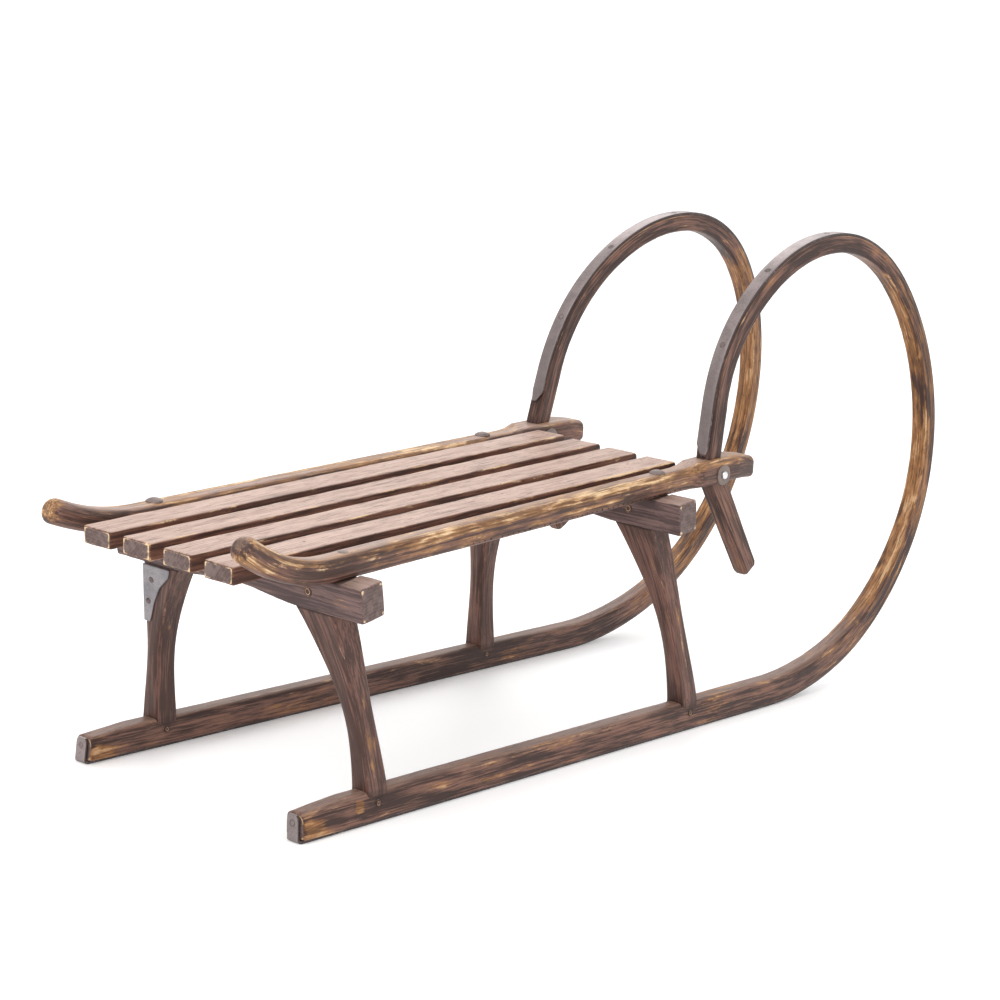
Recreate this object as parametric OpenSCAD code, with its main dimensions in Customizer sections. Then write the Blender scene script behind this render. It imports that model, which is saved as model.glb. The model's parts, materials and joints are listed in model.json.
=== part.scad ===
// Horn sledge: two bent runners with round horns, iron shoes and a slatted seat.
// +X points forward to the horns, +Y to the rider's left, the floor is z = 0.

/* [Runners and horns] */
// Distance between the runners' centre lines at the floor
gauge = 300; // [270:5:330]
// Inward lean of a horn's plane, as a slope
lean_in = 0.074; // [0.06:0.002:0.09]
// How far a horn's rear half stands nearer the middle than its front half, as a slope
toe_in = 0.0225; // [0:0.0005:0.03]
// Straight length of a runner, from its rear end to the first bend
straight_l = 771; // [755:1:790]
// Height of the wooden runner along the straight length
runner_t = 29; // [26:1:31]
// Width of the wooden runner along the straight length
runner_w = 24; // [22:1:28]
// Thickness of the wood where the horn passes through the rail
horn_t = 24; // [20:1:25]
// Thickness of the wood at the crown of the horn
crown_t = 20; // [18:1:24]
// Width of the wood where the round horn begins
horn_w = 22; // [20:1:24]
// Width of the wood where the horn passes through the rail
horn_end_w = 18.5; // [17:0.5:22]
// Length of the straight stub below the seat rail
stub_l = 129; // [95:1:135]
// Thickness of the stub just below the seat rail
stub_t = 30; // [22:1:32]

/* [Iron shoes] */
// Thickness of the shoe strip
shoe_t = 3; // [2:0.5:4]
// Width of the shoe strip
shoe_w = 18; // [15:1:20]
// Height of the shoe where it is turned up over the runner's end
shoe_cap = 27; // [20:1:28]

/* [Seat] */
// Height of the seat's top surface above x = 0 of the runner's rear end
seat_z = 261.3; // [255:0.1:266]
// Rise of the seat toward the front, in degrees
seat_rise = 2.9; // [2.5:0.1:3.2]
// Width of one slat
slat_w = 38.4; // [34:0.2:40]
// Thickness of one slat
slat_t = 17.5; // [15:0.5:18]
// Distance from one slat's centre line to the next one's
slat_pitch = 55.6; // [52:0.2:57]
// Distance of the slats' rear ends behind the runners' rear ends
slat_rear = 48.5; // [30:0.5:55]
// Length of the longest slat
slat_l = 688; // [670:1:695]

/* [Side rails] */
// Width of a rail
rail_w = 25; // [22:1:28]
// Height of a rail
rail_h = 24; // [22:1:26]
// Width of a rail around the horn
rail_horn_w = 36; // [34:1:40]
// Diameter of a rail's round rear end
rail_end_d = 26; // [22:1:27]
// Angle that the left rail's rear end sweeps up
left_sweep = 21; // [12:1:36]
// Angle that the right rail's rear end sweeps up
right_sweep = 34; // [12:1:36]

/* [Leg frames] */
// Length of a cross bar
bar_l = 340; // [330:1:360]
// Front to back width of a cross bar
bar_w = 31; // [28:1:34]
// Height of a cross bar at its ends
bar_h = 35; // [32:1:38]
// Front to back size of a leg
leg_d = 26; // [24:1:28]
// Sideways size of a leg at the runner
leg_foot_w = 24; // [20:1:24]

/* [Hidden] */
$fn = 48;
// gap left between pieces that are fitted together
gap = 0.1;

// ---- runner path, seen from the side, along the outer face of the shoe ----
// a station is [x, z, heading], where heading 0 runs forward and 90 runs up
// each bend is [radius, angle, angle between rings]
horn_bends = [
    [431, 20, 4], [311, 35, 5], [263, 35, 5], [271, 45, 4.5],
    [198, 45, 4.5], [266, 45, 4.5], [198, 35, 5],
];
stub_bend = [51, 42.5, 8.5];
stub_lead = 56.5;
cap_bend = [shoe_t + 1, 90, 15];
strap_tails = [34, 57];
stub_taper = 5;

function forward(p, d) = [p[0] + d * cos(p[2]), p[1] + d * sin(p[2]), p[2]];
function turned(p, r, a) = [
    p[0] + r * (sin(p[2] + a) - sin(p[2])),
    p[1] - r * (cos(p[2] + a) - cos(p[2])),
    p[2] + a,
];
// stations along one bend, without its first one
function bend_rings(p, b) = [for (a = [b[2]:b[2]:b[1] + 0.01]) turned(p, b[0], a)];
function bends_from(p, bends, i = 0) = i == len(bends) ? [] :
    let (rings = bend_rings(p, bends[i]))
    concat(rings, bends_from(rings[len(rings) - 1], bends, i + 1));
function last(list) = list[len(list) - 1];

wood_start = shoe_t + 0.6;
straight_x = [wood_start, 25, 60, 160, 260, 360, 460, 560, 660, straight_l];
straight_rings = [for (x = straight_x) [x, 0, 0]];
horn_rings = bends_from([straight_l, 0, 0], horn_bends);
stub_start = forward(last(horn_rings), stub_lead);
stub_rings = concat([stub_start], bends_from(stub_start, [stub_bend]));
stub_end = forward(last(stub_rings), stub_l);
wood_rings = concat(straight_rings, horn_rings, stub_rings,
    [forward(last(stub_rings), stub_l / 2), forward(stub_end, -4), stub_end]);

// the whole sledge is shifted so that x = 0 is the middle of its length
front_x = max([for (p = horn_rings) p[0]]);
rail_end_x = -75;
mid_x = (front_x + rail_end_x) / 2;

// ---- rings and skins ----
// rounded rectangle: t across, w wide, radii ra on the near side, rb on the far
corner_a = [0, 45, 90];
function corner(cx, cy, r, from) =
    [for (a = corner_a) [cx + r * cos(from + a), cy + r * sin(from + a)]];
function rounded(t, w, ra, rb) = concat(
    corner(ra, -w / 2 + ra, ra, 180), corner(t - rb, -w / 2 + rb, rb, 270),
    corner(t - rb, w / 2 - rb, rb, 0), corner(ra, w / 2 - ra, ra, 90));

// sideways place of the runner's middle plane, which leans in and turns in a little
toe_x = 895;
toe_low = 60;
toe_high = 510;
function plane_y(x, z) = gauge / 2 - lean_in * z + (z < toe_low ? 0 :
    toe_in * (x - toe_x) * sin(180 * min(z - toe_low, toe_high) / toe_high));
// a point n inward of a station and y outward of that plane
function beside(p, n) = [p[0] - n * sin(p[2]), p[1] + n * cos(p[2])];
function place(p, n, y) = let (q = beside(p, n)) [q[0], plane_y(q[0], q[1]) + y, q[1]];
function ring(p, n, outline) = [for (q = outline) place(p, n + q[0], q[1])];

module skin(rings) {
    n = len(rings[0]);
    m = len(rings);
    sides = [for (i = [0:m - 2]) for (j = [0:n - 1])
        let (k = (j + 1) % n, a = i * n, b = a + n)
        each [[a + j, b + k, b + j], [a + j, a + k, b + k]]];
    rear = [for (j = [n - 1:-1:0]) j];
    front = [for (j = [0:n - 1]) (m - 1) * n + j];
    polyhedron([for (r = rings) each r], concat(sides, [rear, front]));
}

// ---- runner and horn ----
wood_n = shoe_t + gap;
function wood_t(p) = min(
    lookup(p[0], [[wood_start, runner_t - 4], [60, runner_t]]),
    lookup(p[2], [[10, runner_t], [80, crown_t + 1], [190, crown_t], [255, horn_t],
        [300, stub_t]])) - (p[2] < 300 ? 0 :
    lookup(p[1], [[stub_end[1], stub_taper], [last(stub_rings)[1], 0]]));
function wood_w(p) = lookup(p[2], [[10, runner_w], [80, horn_w], [255, horn_end_w]]);
function wood_ring(p, grow) = ring(p, wood_n - grow,
    rounded(wood_t(p) + 2 * grow, wood_w(p) + 2 * grow, 2,
        lookup(p[2], [[20, 6.5], [90, 4]])));
module horn_wood(rings, grow = 0) skin([for (p = rings) wood_ring(p, grow)]);

// ---- shoe ----
cap_top = [0, shoe_cap, -90];
cap_low = [0, cap_bend[0], -90];
function shoe_rings(tail) = concat([cap_top, cap_low], bend_rings(cap_low, cap_bend),
    [for (p = straight_rings) if (p[0] > 20) p], horn_rings,
    [forward(last(horn_rings), tail)]);
function strip_w(p) = p[2] < -80 ? shoe_w - 3 : min(shoe_w, wood_w(p) - 3);
module shoe_strip(tail) skin([for (p = shoe_rings(tail))
    ring(p, 0, rounded(shoe_t, strip_w(p), 0.7, 0.3))]);

// stations of the shoe's nails: along the floor, around the horn, at the cap
nail_step = 6;
nail_floor_x = [40, 190, 340, 490, 640];
nail_stations = concat([[0, shoe_cap - 8, -90]], [for (x = nail_floor_x) [x, 0, 0]],
    [for (i = [3:nail_step:len(horn_rings) - 1]) horn_rings[i]]);
nail_r = 1.6;
nail_head_r = 4;
nail_l = 15;
nail_sink = 0.4;
// aims a piece drawn along +Z inward from a station
module aimed(p) {
    q = place(p, 0, 0);
    translate(q) rotate([0, -p[2], 0]) children();
}
module shoe_nail(grow = 0) {
    translate([0, 0, nail_sink - grow])
        cylinder(h = shoe_t - nail_sink + grow, r1 = nail_head_r + grow, r2 = nail_r + grow);
    cylinder(h = nail_l + grow, r = nail_r + grow);
}
module nail_all(grow = 0) for (p = nail_stations) aimed(p) shoe_nail(grow);

// ---- seat plane ----
seat_slope = tan(seat_rise);
function seat_top(x) = seat_z + seat_slope * x;
// moves a piece drawn on a flat seat, with its top at z = 0, to the sloping seat
module on_seat(x) translate([x, 0, seat_top(x)]) rotate([0, -seat_rise, 0]) children();

// ---- side rail, seen from the side along its centre line ----
rail_tip_x = 735;
rail_sweep_x = 45;
rail_sweep_l = 114;
rail_tail_l = 22;
rail_nose_r = 11;
droop_x = 680;
droop = 0.0017;
rail_rear_y = 130.7;
rail_toe = 0.011;
function rail_y(x) = rail_rear_y - rail_toe * max(x, 0);
// the straight stretch runs parallel to the seat, its top level with the slats,
// and the tip in front of the horn droops a little
function rail_mid(x) = [x, seat_top(x) - rail_h / 2 / cos(seat_rise)
    - droop * pow(max(0, x - droop_x), 2), seat_rise];
sweep_low = rail_mid(rail_sweep_x);
// the rear end sweeps up by an angle over a fixed length
function sweep_radius(a) = (rail_sweep_l - rail_tail_l * cos(a)) / sin(a);
function sweep_rings(a) = [for (i = [8:-1:1]) turned(sweep_low, sweep_radius(a), -a * i / 8)];
function rear_end(a) = forward(sweep_rings(a)[0], -rail_tail_l);
// a round nose: how far a ring at distance d from the end draws in
function nose(d, r) = d >= r ? 0 : r - sqrt(r * r - (r - d) * (r - d));
nose_steps = [0.6, 2, 4.5, 8];
swell = [[596, 0], [612, 0.3], [628, 1], [690, 1], [715, 0.5], [735, 0.1]];
function rail_ring(p, inset = 0) =
    let (
        u = max(0, min(1, (p[0] + 70) / 90)),
        s = lookup(p[0], swell),
        high = rail_end_d + (rail_h - rail_end_d) * u,
        h = high + 3 * s,
        w = rail_end_d + (rail_w - rail_end_d) * u + (rail_horn_w - rail_w) * s,
        r = min(rail_end_d / 2 - (rail_end_d / 2 - 6.5) * u, h / 2 - inset) - 0.1
    )
    [for (q = rounded(h - 2 * inset, w - 2 * inset, r, r))
        let (b = beside(p, q[0] + inset - high / 2)) [b[0], rail_y(p[0]) + q[1], b[1]]];
rail_front_x = [200, 400, 590, 604, 612, 620, 628, 650, 670, 690, 705, 718];
module rail_skin(a) skin(concat(
    [for (d = nose_steps) rail_ring(forward(rear_end(a), d), nose(d + 0.8, 8.8))],
    [for (p = sweep_rings(a)) rail_ring(p)], [rail_ring(sweep_low)],
    [for (x = rail_front_x) rail_ring(rail_mid(x))],
    [for (i = [3:-1:0]) rail_ring(rail_mid(rail_tip_x - nose_steps[i]),
        nose(nose_steps[i] + 0.8, rail_nose_r))]));

// ---- leg frames ----
runner_top = shoe_t + gap + runner_t;
rear_bar_x = 71;
front_bar_x = 563;
rear_lean = 11;
front_lean = 8;
rear_foot_x = 104;
front_foot_x = 611;
bar_drop = 6;
bar_full_h = bar_h + bar_drop;
// height of a cross bar's underside at its middle line
function bar_low(x, lean) =
    seat_top(x - bar_full_h * sin(lean)) - slat_t - bar_full_h * cos(lean);
// moves a piece from a cross bar's own frame to its place on the sledge
module on_bar(x, lean)
    translate([x, 0, bar_low(x, lean)]) rotate([0, -lean, 0]) children();

arch = 7;
haunch_y = 86;
slat_seat_y = 2 * slat_pitch;
bar_arch = [for (y = [-haunch_y:haunch_y / 8:haunch_y + 0.01])
    [y, arch * (1 + cos(180 * y / haunch_y)) / 2]];
bar_outline = concat([[-bar_l / 2, 0]], bar_arch, [
    [bar_l / 2, 0], [bar_l / 2, bar_h], [slat_seat_y + 4, bar_h],
    [slat_seat_y - 2, bar_full_h], [-slat_seat_y + 2, bar_full_h],
    [-slat_seat_y - 4, bar_h], [-bar_l / 2, bar_h],
]);
end_skew = 12;
end_cut = 40;
module bar_solid() {
    difference() {
        translate([-bar_w / 2, 0, 0]) rotate([90, 0, 90])
            linear_extrude(bar_w) polygon(bar_outline);
        for (s = [-1, 1])
            translate([-bar_w / 2, s * bar_l / 2, bar_h / 2]) rotate([0, 0, s * end_skew])
                translate([0, s * end_cut / 2, 0])
                    cube([3 * bar_w, end_cut, 2 * bar_h], center = true);
    }
}

// leg: round cornered rings from the runner, u = 0, to the bar, u = 1
leg_top_in = 82;
leg_top_out = 131;
leg_foot_out = 160;
leg_top_d = 29.5;
leg_foot_in = leg_foot_out - leg_foot_w;
leg_flare = leg_foot_in - leg_top_in;
leg_ring_n = 14;
leg_belly = 1;
leg_edge_r = 2;
leg_waist_r = 6.5;
leg_stop = 0.9;
function flare_radius(rise) = (leg_flare * leg_flare + rise * rise) / (2 * leg_flare);
function leg_round(u) = leg_edge_r
    + (u < leg_stop ? leg_waist_r * pow(sin(180 * u / leg_stop), 2) : 0);
// a leg at u: [middle x, inner y, outer y, depth, height]
function leg_at(u, foot_x, bar_x, lean) =
    let (
        rise = bar_low(bar_x, lean) - gap - runner_top,
        fr = flare_radius(rise)
    )
    [foot_x + (bar_x - foot_x) * pow(u, 1.15),
        leg_foot_in - fr + sqrt(fr * fr - pow(u * rise, 2)),
        leg_foot_out + (leg_top_out - leg_foot_out) * u + leg_belly * sin(180 * u),
        leg_d + (leg_top_d - leg_d) * pow(u, 3),
        runner_top + u * rise];
function leg_point(u, at, lean, dx, y) = [at[0] + dx, y, at[4] + tan(lean) * u * dx];
function leg_ring(u, foot_x, bar_x, lean) =
    let (at = leg_at(u, foot_x, bar_x, lean), r = leg_round(u))
    [for (q = rounded(at[3], at[2] - at[1], r, r))
        leg_point(u, at, lean, at[3] / 2 - q[0], (at[1] + at[2]) / 2 + q[1])];

// iron plate on the rear face of the left rear leg, wide at the top: [u, width]
plate_t = 1.5;
plate_gap = 0.2;
plate_w = [[0.63, 9], [0.66, 11], [0.76, 16], [0.86, 24], [0.94, 37], [0.993, 39]];
function plate_ring(u, w) =
    let (
        at = leg_at(u, rear_foot_x, rear_bar_x, rear_lean),
        edge = at[2] - leg_round(u) / 3
    )
    [for (q = rounded(plate_t, w, 0.3, 0.3))
        leg_point(u, at, rear_lean, -at[3] / 2 - plate_gap - q[0], edge - w / 2 + q[1])];

// tenons: the upper one stands in the cross bar, the lower one in the runner
bar_tenon = [14, 26, 26];
bar_tenon_y = 107;
foot_tenon = [16, 11, 20];
tenon_root = 4;
foot_y = plane_y(0, runner_top);
peg_r = 3.5;
bar_peg_r = 5.5;
bar_peg_y = 101;
peg_z = runner_top - 12;
bar_peg_z = 19;
module block(size, grow)
    cube([size[0] + 2 * grow, size[1] + 2 * grow, size[2] + 2 * grow], center = true);
module bar_tenon_block(grow = 0)
    translate([0, bar_tenon_y, (bar_tenon[2] - tenon_root) / 2])
        block([bar_tenon[0], bar_tenon[1], bar_tenon[2] + tenon_root], grow);
module foot_tenon_block(foot_x, grow = 0)
    translate([foot_x, foot_y, runner_top - (foot_tenon[2] - tenon_root) / 2])
        block([foot_tenon[0], foot_tenon[1], foot_tenon[2] + tenon_root], grow);
// peg across the runner and the leg's lower tenon
peg_l = runner_w + 1;
module foot_peg(foot_x, grow = 0)
    translate([foot_x, plane_y(foot_x, peg_z), peg_z]) rotate([90, 0, 0])
        cylinder(h = peg_l + 2 * grow, r = peg_r + grow, center = true);
// peg across the cross bar and the leg's upper tenon, in the bar's own frame
module bar_peg(grow = 0)
    translate([0, bar_peg_y, bar_peg_z]) rotate([0, 90, 0])
        cylinder(h = bar_w + 0.6 + 2 * grow, r = bar_peg_r + grow, center = true);

module leg(foot_x, bar_x, lean) {
    difference() {
        union() {
            skin([for (i = [0:leg_ring_n]) leg_ring(i / leg_ring_n, foot_x, bar_x, lean)]);
            on_bar(bar_x, lean) bar_tenon_block();
            foot_tenon_block(foot_x);
        }
        foot_peg(foot_x, gap);
        on_bar(bar_x, lean) bar_peg(gap);
    }
}

// ---- screws, rivets and nails ----
screw_head_r = 9;
screw_head_h = 4;
screw_r = 3.5;
screw_l = 52;
screw_rear_x = 66;
screw_front_x = 560;
module screw_place(x) on_seat(x) translate([0, rail_y(x), 0]) children();
module rail_screw(grow = 0) {
    translate([0, 0, -screw_l]) cylinder(h = screw_l + 0.2, r = screw_r + grow);
    if (grow == 0) intersection() {
        translate([0, 0, gap]) cylinder(h = screw_head_h, r = screw_head_r);
        translate([0, 0, screw_head_h - 12.2]) sphere(r = 12.2, $fn = 64);
    }
}

// rivet across the rail and the horn, with a disc under each head
rivet_x = 661;
rivet_at = [rivet_x, rail_y(rivet_x), seat_top(rivet_x) - 14];
rivet_r = 3;
rivet_head_r = 4.5;
rivet_head_h = 2.6;
disc_r = 11.5;
disc_t = 1.6;
cheek = rail_horn_w / 2 + gap;
module rivet(grow = 0) translate(rivet_at) rotate([90, 0, 0]) {
    reach = cheek + disc_t + gap;
    cylinder(h = 2 * reach + 1, r = rivet_r + grow, center = true);
    if (grow == 0) for (s = [-1, 1])
        translate([0, 0, s * (reach + rivet_head_h / 2)])
            cylinder(h = rivet_head_h, r = rivet_head_r, center = true);
}
module rivet_discs() translate(rivet_at) rotate([90, 0, 0])
    for (s = [-1, 1]) difference() {
        translate([0, 0, s * (cheek + disc_t / 2)])
            cylinder(h = disc_t, r = disc_r, center = true);
        cylinder(h = 3 * cheek, r = rivet_r + gap, center = true);
    }

// slat nails: a flat head let into the slat, a shank down into the cross bar
slat_nail_head_r = 2.8;
slat_nail_r = 1.3;
slat_nail_l = 38;
slat_nail_side = 8;
module slat_nail(grow = 0) {
    translate([0, 0, -1.6 - grow]) cylinder(h = 1.2 + 3 * grow, r = slat_nail_head_r + grow);
    translate([0, 0, -slat_nail_l]) cylinder(h = slat_nail_l - 1, r = slat_nail_r + grow);
}
module slat_nails_at(i, grow = 0) for (x = [screw_rear_x, screw_front_x]) on_seat(x)
    translate([0, slat_y(i) + (x == screw_rear_x ? 1 : -1) * slat_nail_side / 2, 0])
        slat_nail(grow);

// nails through the plate into the left rear leg, in the cross bar's own frame
leg_nail_r = 1.6;
leg_nail_head_r = 3.2;
leg_nail_spots = [[-16.2, 121, -17], [-15.2, 130, -42]];
module leg_nails_in(grow = 0) on_bar(rear_bar_x, rear_lean)
    for (q = leg_nail_spots) translate(q) rotate([0, 90, 0]) {
        cylinder(h = 20, r = leg_nail_r + grow);
        translate([0, 0, -1 - grow]) cylinder(h = 1.6 + 2 * grow, r = leg_nail_head_r + grow);
    }
module plate() difference() {
    skin([for (p = plate_w) plate_ring(p[0], p[1])]);
    leg_nails_in(gap);
}

// ---- slats ----
slat_steps = [0, 6, 10, 13];
function slat_y(i) = (1.5 - i) * slat_pitch;
slat_round = 7;
module slat(i) {
    l = slat_l - slat_steps[i];
    difference() {
        on_seat(-slat_rear) translate([0, slat_y(i) + slat_w / 2, 0]) rotate([90, 0, 0])
            linear_extrude(slat_w) polygon(concat(
                [[0, -slat_t], [l - 1, -slat_t], [l, -slat_t + 1]],
                [for (a = [0:22.5:90]) [l - slat_round + slat_round * cos(a),
                    -slat_round + slat_round * sin(a)]],
                [[1, 0], [0, -1]]));
        slat_nails_at(i, gap);
    }
}

// ---- whole pieces ----
module both_sides() {
    children();
    mirror([0, 1, 0]) children();
}
module centred() translate([-mid_x, 0, 0]) children();

module runner() difference() {
    horn_wood(wood_rings);
    for (x = [rear_foot_x, front_foot_x]) {
        foot_tenon_block(x, gap);
        foot_peg(x, gap);
    }
    nail_all(gap);
    rivet(gap);
}
module shoe(tail) difference() {
    shoe_strip(tail);
    nail_all(gap);
}
module rail(sweep) difference() {
    rail_skin(sweep);
    horn_wood(concat([for (p = horn_rings) if (p[2] > 240) p], stub_rings,
        [forward(last(stub_rings), 30)]), gap);
    for (x = [screw_rear_x, screw_front_x]) screw_place(x) rail_screw(gap);
    rivet(gap);
}
module bar(x, lean) difference() {
    on_bar(x, lean) bar_solid();
    // planed level where the slats and the rails rest
    on_seat(x) translate([0, 0, 50 - slat_t + gap]) cube([100, 500, 100], center = true);
    both_sides() on_seat(x) translate([0, rail_y(x), 50 - rail_h + gap])
        cube([100, rail_w + 3, 100], center = true);
    both_sides() on_bar(x, lean) {
        bar_tenon_block(gap);
        bar_peg(gap);
    }
    both_sides() screw_place(x == rear_bar_x ? screw_rear_x : screw_front_x)
        rail_screw(gap);
    for (i = [0:3]) slat_nails_at(i, gap);
}

module runner_left() color("saddlebrown") centred() runner();
module runner_right() color("saddlebrown") centred() mirror([0, 1, 0]) runner();
module shoe_left() color("dimgray") centred() shoe(strap_tails[0]);
module shoe_right() color("dimgray") centred() mirror([0, 1, 0]) shoe(strap_tails[1]);
module shoe_nails() color("gray") centred() both_sides() nail_all();
module leg_rear_left() color("sienna") centred() difference() {
    leg(rear_foot_x, rear_bar_x, rear_lean);
    leg_nails_in(gap);
}
module leg_rear_right() color("sienna") centred() mirror([0, 1, 0])
    leg(rear_foot_x, rear_bar_x, rear_lean);
module leg_front_left() color("sienna") centred()
    leg(front_foot_x, front_bar_x, front_lean);
module leg_front_right() color("sienna") centred() mirror([0, 1, 0])
    leg(front_foot_x, front_bar_x, front_lean);
module leg_plate() color("slategray") centred() plate();
module leg_nails() color("dimgray") centred() leg_nails_in();
module crossbar_rear() color("sienna") centred() bar(rear_bar_x, rear_lean);
module crossbar_front() color("sienna") centred() bar(front_bar_x, front_lean);
module crossbar_pegs() color("peru") centred() both_sides() {
    on_bar(rear_bar_x, rear_lean) bar_peg();
    on_bar(front_bar_x, front_lean) bar_peg();
}
module runner_pegs() color("peru") centred() both_sides()
    for (x = [rear_foot_x, front_foot_x]) foot_peg(x);
module slat_1() color("rosybrown") centred() slat(0);
module slat_2() color("rosybrown") centred() slat(1);
module slat_3() color("rosybrown") centred() slat(2);
module slat_4() color("rosybrown") centred() slat(3);
module slat_nails() color("dimgray") centred() for (i = [0:3]) slat_nails_at(i);
module rail_left() color("peru") centred() rail(left_sweep);
module rail_right() color("peru") centred() mirror([0, 1, 0])
    rail(right_sweep);
module rail_screws() color("dimgray") centred() both_sides()
    for (x = [screw_rear_x, screw_front_x]) screw_place(x) rail_screw();
module horn_rivets() color("silver") centred() both_sides() rivet();
module horn_discs() color("dimgray") centred() both_sides() rivet_discs();

runner_left();
runner_right();
shoe_left();
shoe_right();
shoe_nails();
leg_rear_left();
leg_rear_right();
leg_front_left();
leg_front_right();
leg_plate();
leg_nails();
crossbar_rear();
crossbar_front();
crossbar_pegs();
runner_pegs();
slat_1();
slat_2();
slat_3();
slat_4();
slat_nails();
rail_left();
rail_right();
rail_screws();
horn_rivets();
horn_discs();
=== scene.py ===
"""Horn sledge in worn, stained wood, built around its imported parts.

Sizes in the tables are millimetres in the maker's own frame, where x = 0 is the runners' rear
end, y = 0 the middle plane and z = 0 the floor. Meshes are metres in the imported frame.
"""

import json
import math

import bpy
import numpy as np
from mathutils import Matrix, Vector, noise

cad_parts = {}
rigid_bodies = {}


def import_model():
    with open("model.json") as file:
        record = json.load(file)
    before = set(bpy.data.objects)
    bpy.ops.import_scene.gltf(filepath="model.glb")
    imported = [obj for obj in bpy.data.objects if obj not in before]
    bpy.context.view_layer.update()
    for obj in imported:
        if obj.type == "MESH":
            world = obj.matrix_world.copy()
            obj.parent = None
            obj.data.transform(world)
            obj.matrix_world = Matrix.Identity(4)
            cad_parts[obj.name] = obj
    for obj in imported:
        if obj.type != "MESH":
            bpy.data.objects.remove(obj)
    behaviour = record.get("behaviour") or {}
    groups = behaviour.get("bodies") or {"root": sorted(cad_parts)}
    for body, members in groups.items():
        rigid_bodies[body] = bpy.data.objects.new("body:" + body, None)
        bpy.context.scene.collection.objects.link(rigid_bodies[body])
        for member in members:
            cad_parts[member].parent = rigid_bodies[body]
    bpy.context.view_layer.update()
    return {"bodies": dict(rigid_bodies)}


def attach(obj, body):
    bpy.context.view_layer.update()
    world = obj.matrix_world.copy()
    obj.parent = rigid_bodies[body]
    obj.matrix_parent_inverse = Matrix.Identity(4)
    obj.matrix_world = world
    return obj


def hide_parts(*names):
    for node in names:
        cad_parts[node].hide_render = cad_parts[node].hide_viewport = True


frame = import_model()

bl_info = {
    "name": "Horn Sledge",
    "version": (1, 0, 0),
    "blender": (4, 5, 0),
    "location": "View3D > Sidebar > Sledge",
    "description": "Builds a worn wooden horn sledge with iron shoes",
    "category": "Add Mesh",
}

MM = 0.001
BODY = next(iter(frame["bodies"]))

# ---- sizes, in millimetres and degrees ----
GAUGE = 300
LEAN_IN = 0.074
TOE_IN = 0.0225
TOE_X, TOE_LOW, TOE_HIGH = 895, 60, 510
STRAIGHT = 771
GAP = 0.1
HORN_BENDS = [(431, 20), (311, 35), (263, 35), (271, 45), (198, 45), (266, 45), (198, 35)]
STUB_BEND = (51, 42.5)
STUB_LEAD = 56.5
STUB, STUB_T, STUB_TAPER = 129, 30, 5
STUB_HIGH, STUB_END = 264.8, 156.1
STRAP_TAILS = {1: 34, -1: 57}
SHOE_T, SHOE_W, SHOE_CAP = 3, 18, 27
CAP_BEND = (SHOE_T + 1, 90)
RUNNER_T, RUNNER_W = 29, 24
HORN_T, CROWN_T, HORN_W, HORN_END_W = 24, 20, 22, 18.5
WOOD_START = SHOE_T + 0.6
WOOD_N = SHOE_T + GAP
RUNNER_TOP = WOOD_N + RUNNER_T

SEAT_Z, SEAT_RISE = 261.3, 2.9
SEAT_SLOPE = math.tan(math.radians(SEAT_RISE))
SLAT_W, SLAT_T, SLAT_PITCH, SLAT_REAR, SLAT_L = 38.4, 17.5, 55.6, 48.5, 688
SLAT_STEPS = [0, 6, 10, 13]
SLAT_NOSE = 7

RAIL_W, RAIL_H, RAIL_HORN_W, RAIL_END_D = 25, 24, 36, 26
RAIL_TIP, RAIL_SWEEP_X, RAIL_SWEEP_L, RAIL_TAIL, RAIL_NOSE = 735, 45, 114, 22, 11
DROOP_X, DROOP = 680, 0.0017
SWELL = [(596, 0), (612, 0.3), (628, 1), (690, 1), (715, 0.5), (735, 0.1)]
SWEEPS = {1: 21, -1: 34}

BAR_L, BAR_W, BAR_H, BAR_DROP, ARCH, HAUNCH = 340, 31, 35, 6, 7, 86
BAR_FULL_H = BAR_H + BAR_DROP
BARS = {"rear": (71, 11, 104), "front": (563, 8, 611)}  # bar x, lean, foot x
LEG_TOP_IN, LEG_TOP_OUT, LEG_FOOT_OUT, LEG_FOOT_W = 82, 131, 160, 24
LEG_D, LEG_TOP_D, LEG_BELLY, LEG_EDGE, LEG_WAIST = 26, 29.5, 1, 2, 6.5
BAR_PEG = (101, 19, 5.5)  # y and z in the bar's frame, radius
FOOT_PEG_Z, FOOT_PEG_R = RUNNER_TOP - 12, 3.5
LEG_NAILS = [(-16.2, 121, -17), (-15.2, 130, -42)]
PLATE_T, PLATE_GAP = 1.5, 0.2
PLATE_W = [(0.63, 9), (0.66, 11), (0.76, 16), (0.86, 24), (0.94, 37), (0.993, 39)]

SCREW_X = [66, 560]
WORN_SCREW = (SCREW_X[0], -1)
WORN_SCREW_SINK = 2.9
RIVET_X, RIVET_DROP, RIVET_HEAD_LIFT = 661, 14, 1.7
SIDES = ((1, "left"), (-1, "right"))

# ---- the camera, in millimetres and radians ----
CAMERA_AT = (-1602, -1682, 781)
CAMERA_YAW, CAMERA_PITCH, CAMERA_ROLL = 0.687, 0.198, 0.074
CAMERA_LENS = 90.2


# ---- the runner's path: a station is (x, z, heading, length so far) ----
def forward(p, d):
    a = math.radians(p[2])
    return (p[0] + d * math.cos(a), p[1] + d * math.sin(a), p[2], p[3] + d)


def turned(p, r, angle):
    a, b = math.radians(p[2]), math.radians(p[2] + angle)
    return (p[0] + r * (math.sin(b) - math.sin(a)), p[1] - r * (math.cos(b) - math.cos(a)),
            p[2] + angle, p[3] + r * (b - a))


def straight(p, d, step):
    n = max(1, math.ceil(abs(d) / step))
    return [forward(p, d * i / n) for i in range(1, n + 1)]


def bent(p, bend, step):
    n = max(3, math.ceil(bend[0] * math.radians(bend[1]) / step))
    return [turned(p, bend[0], bend[1] * i / n) for i in range(1, n + 1)]


def lookup(x, table):
    return float(np.interp(x, [t[0] for t in table], [t[1] for t in table]))


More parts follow.
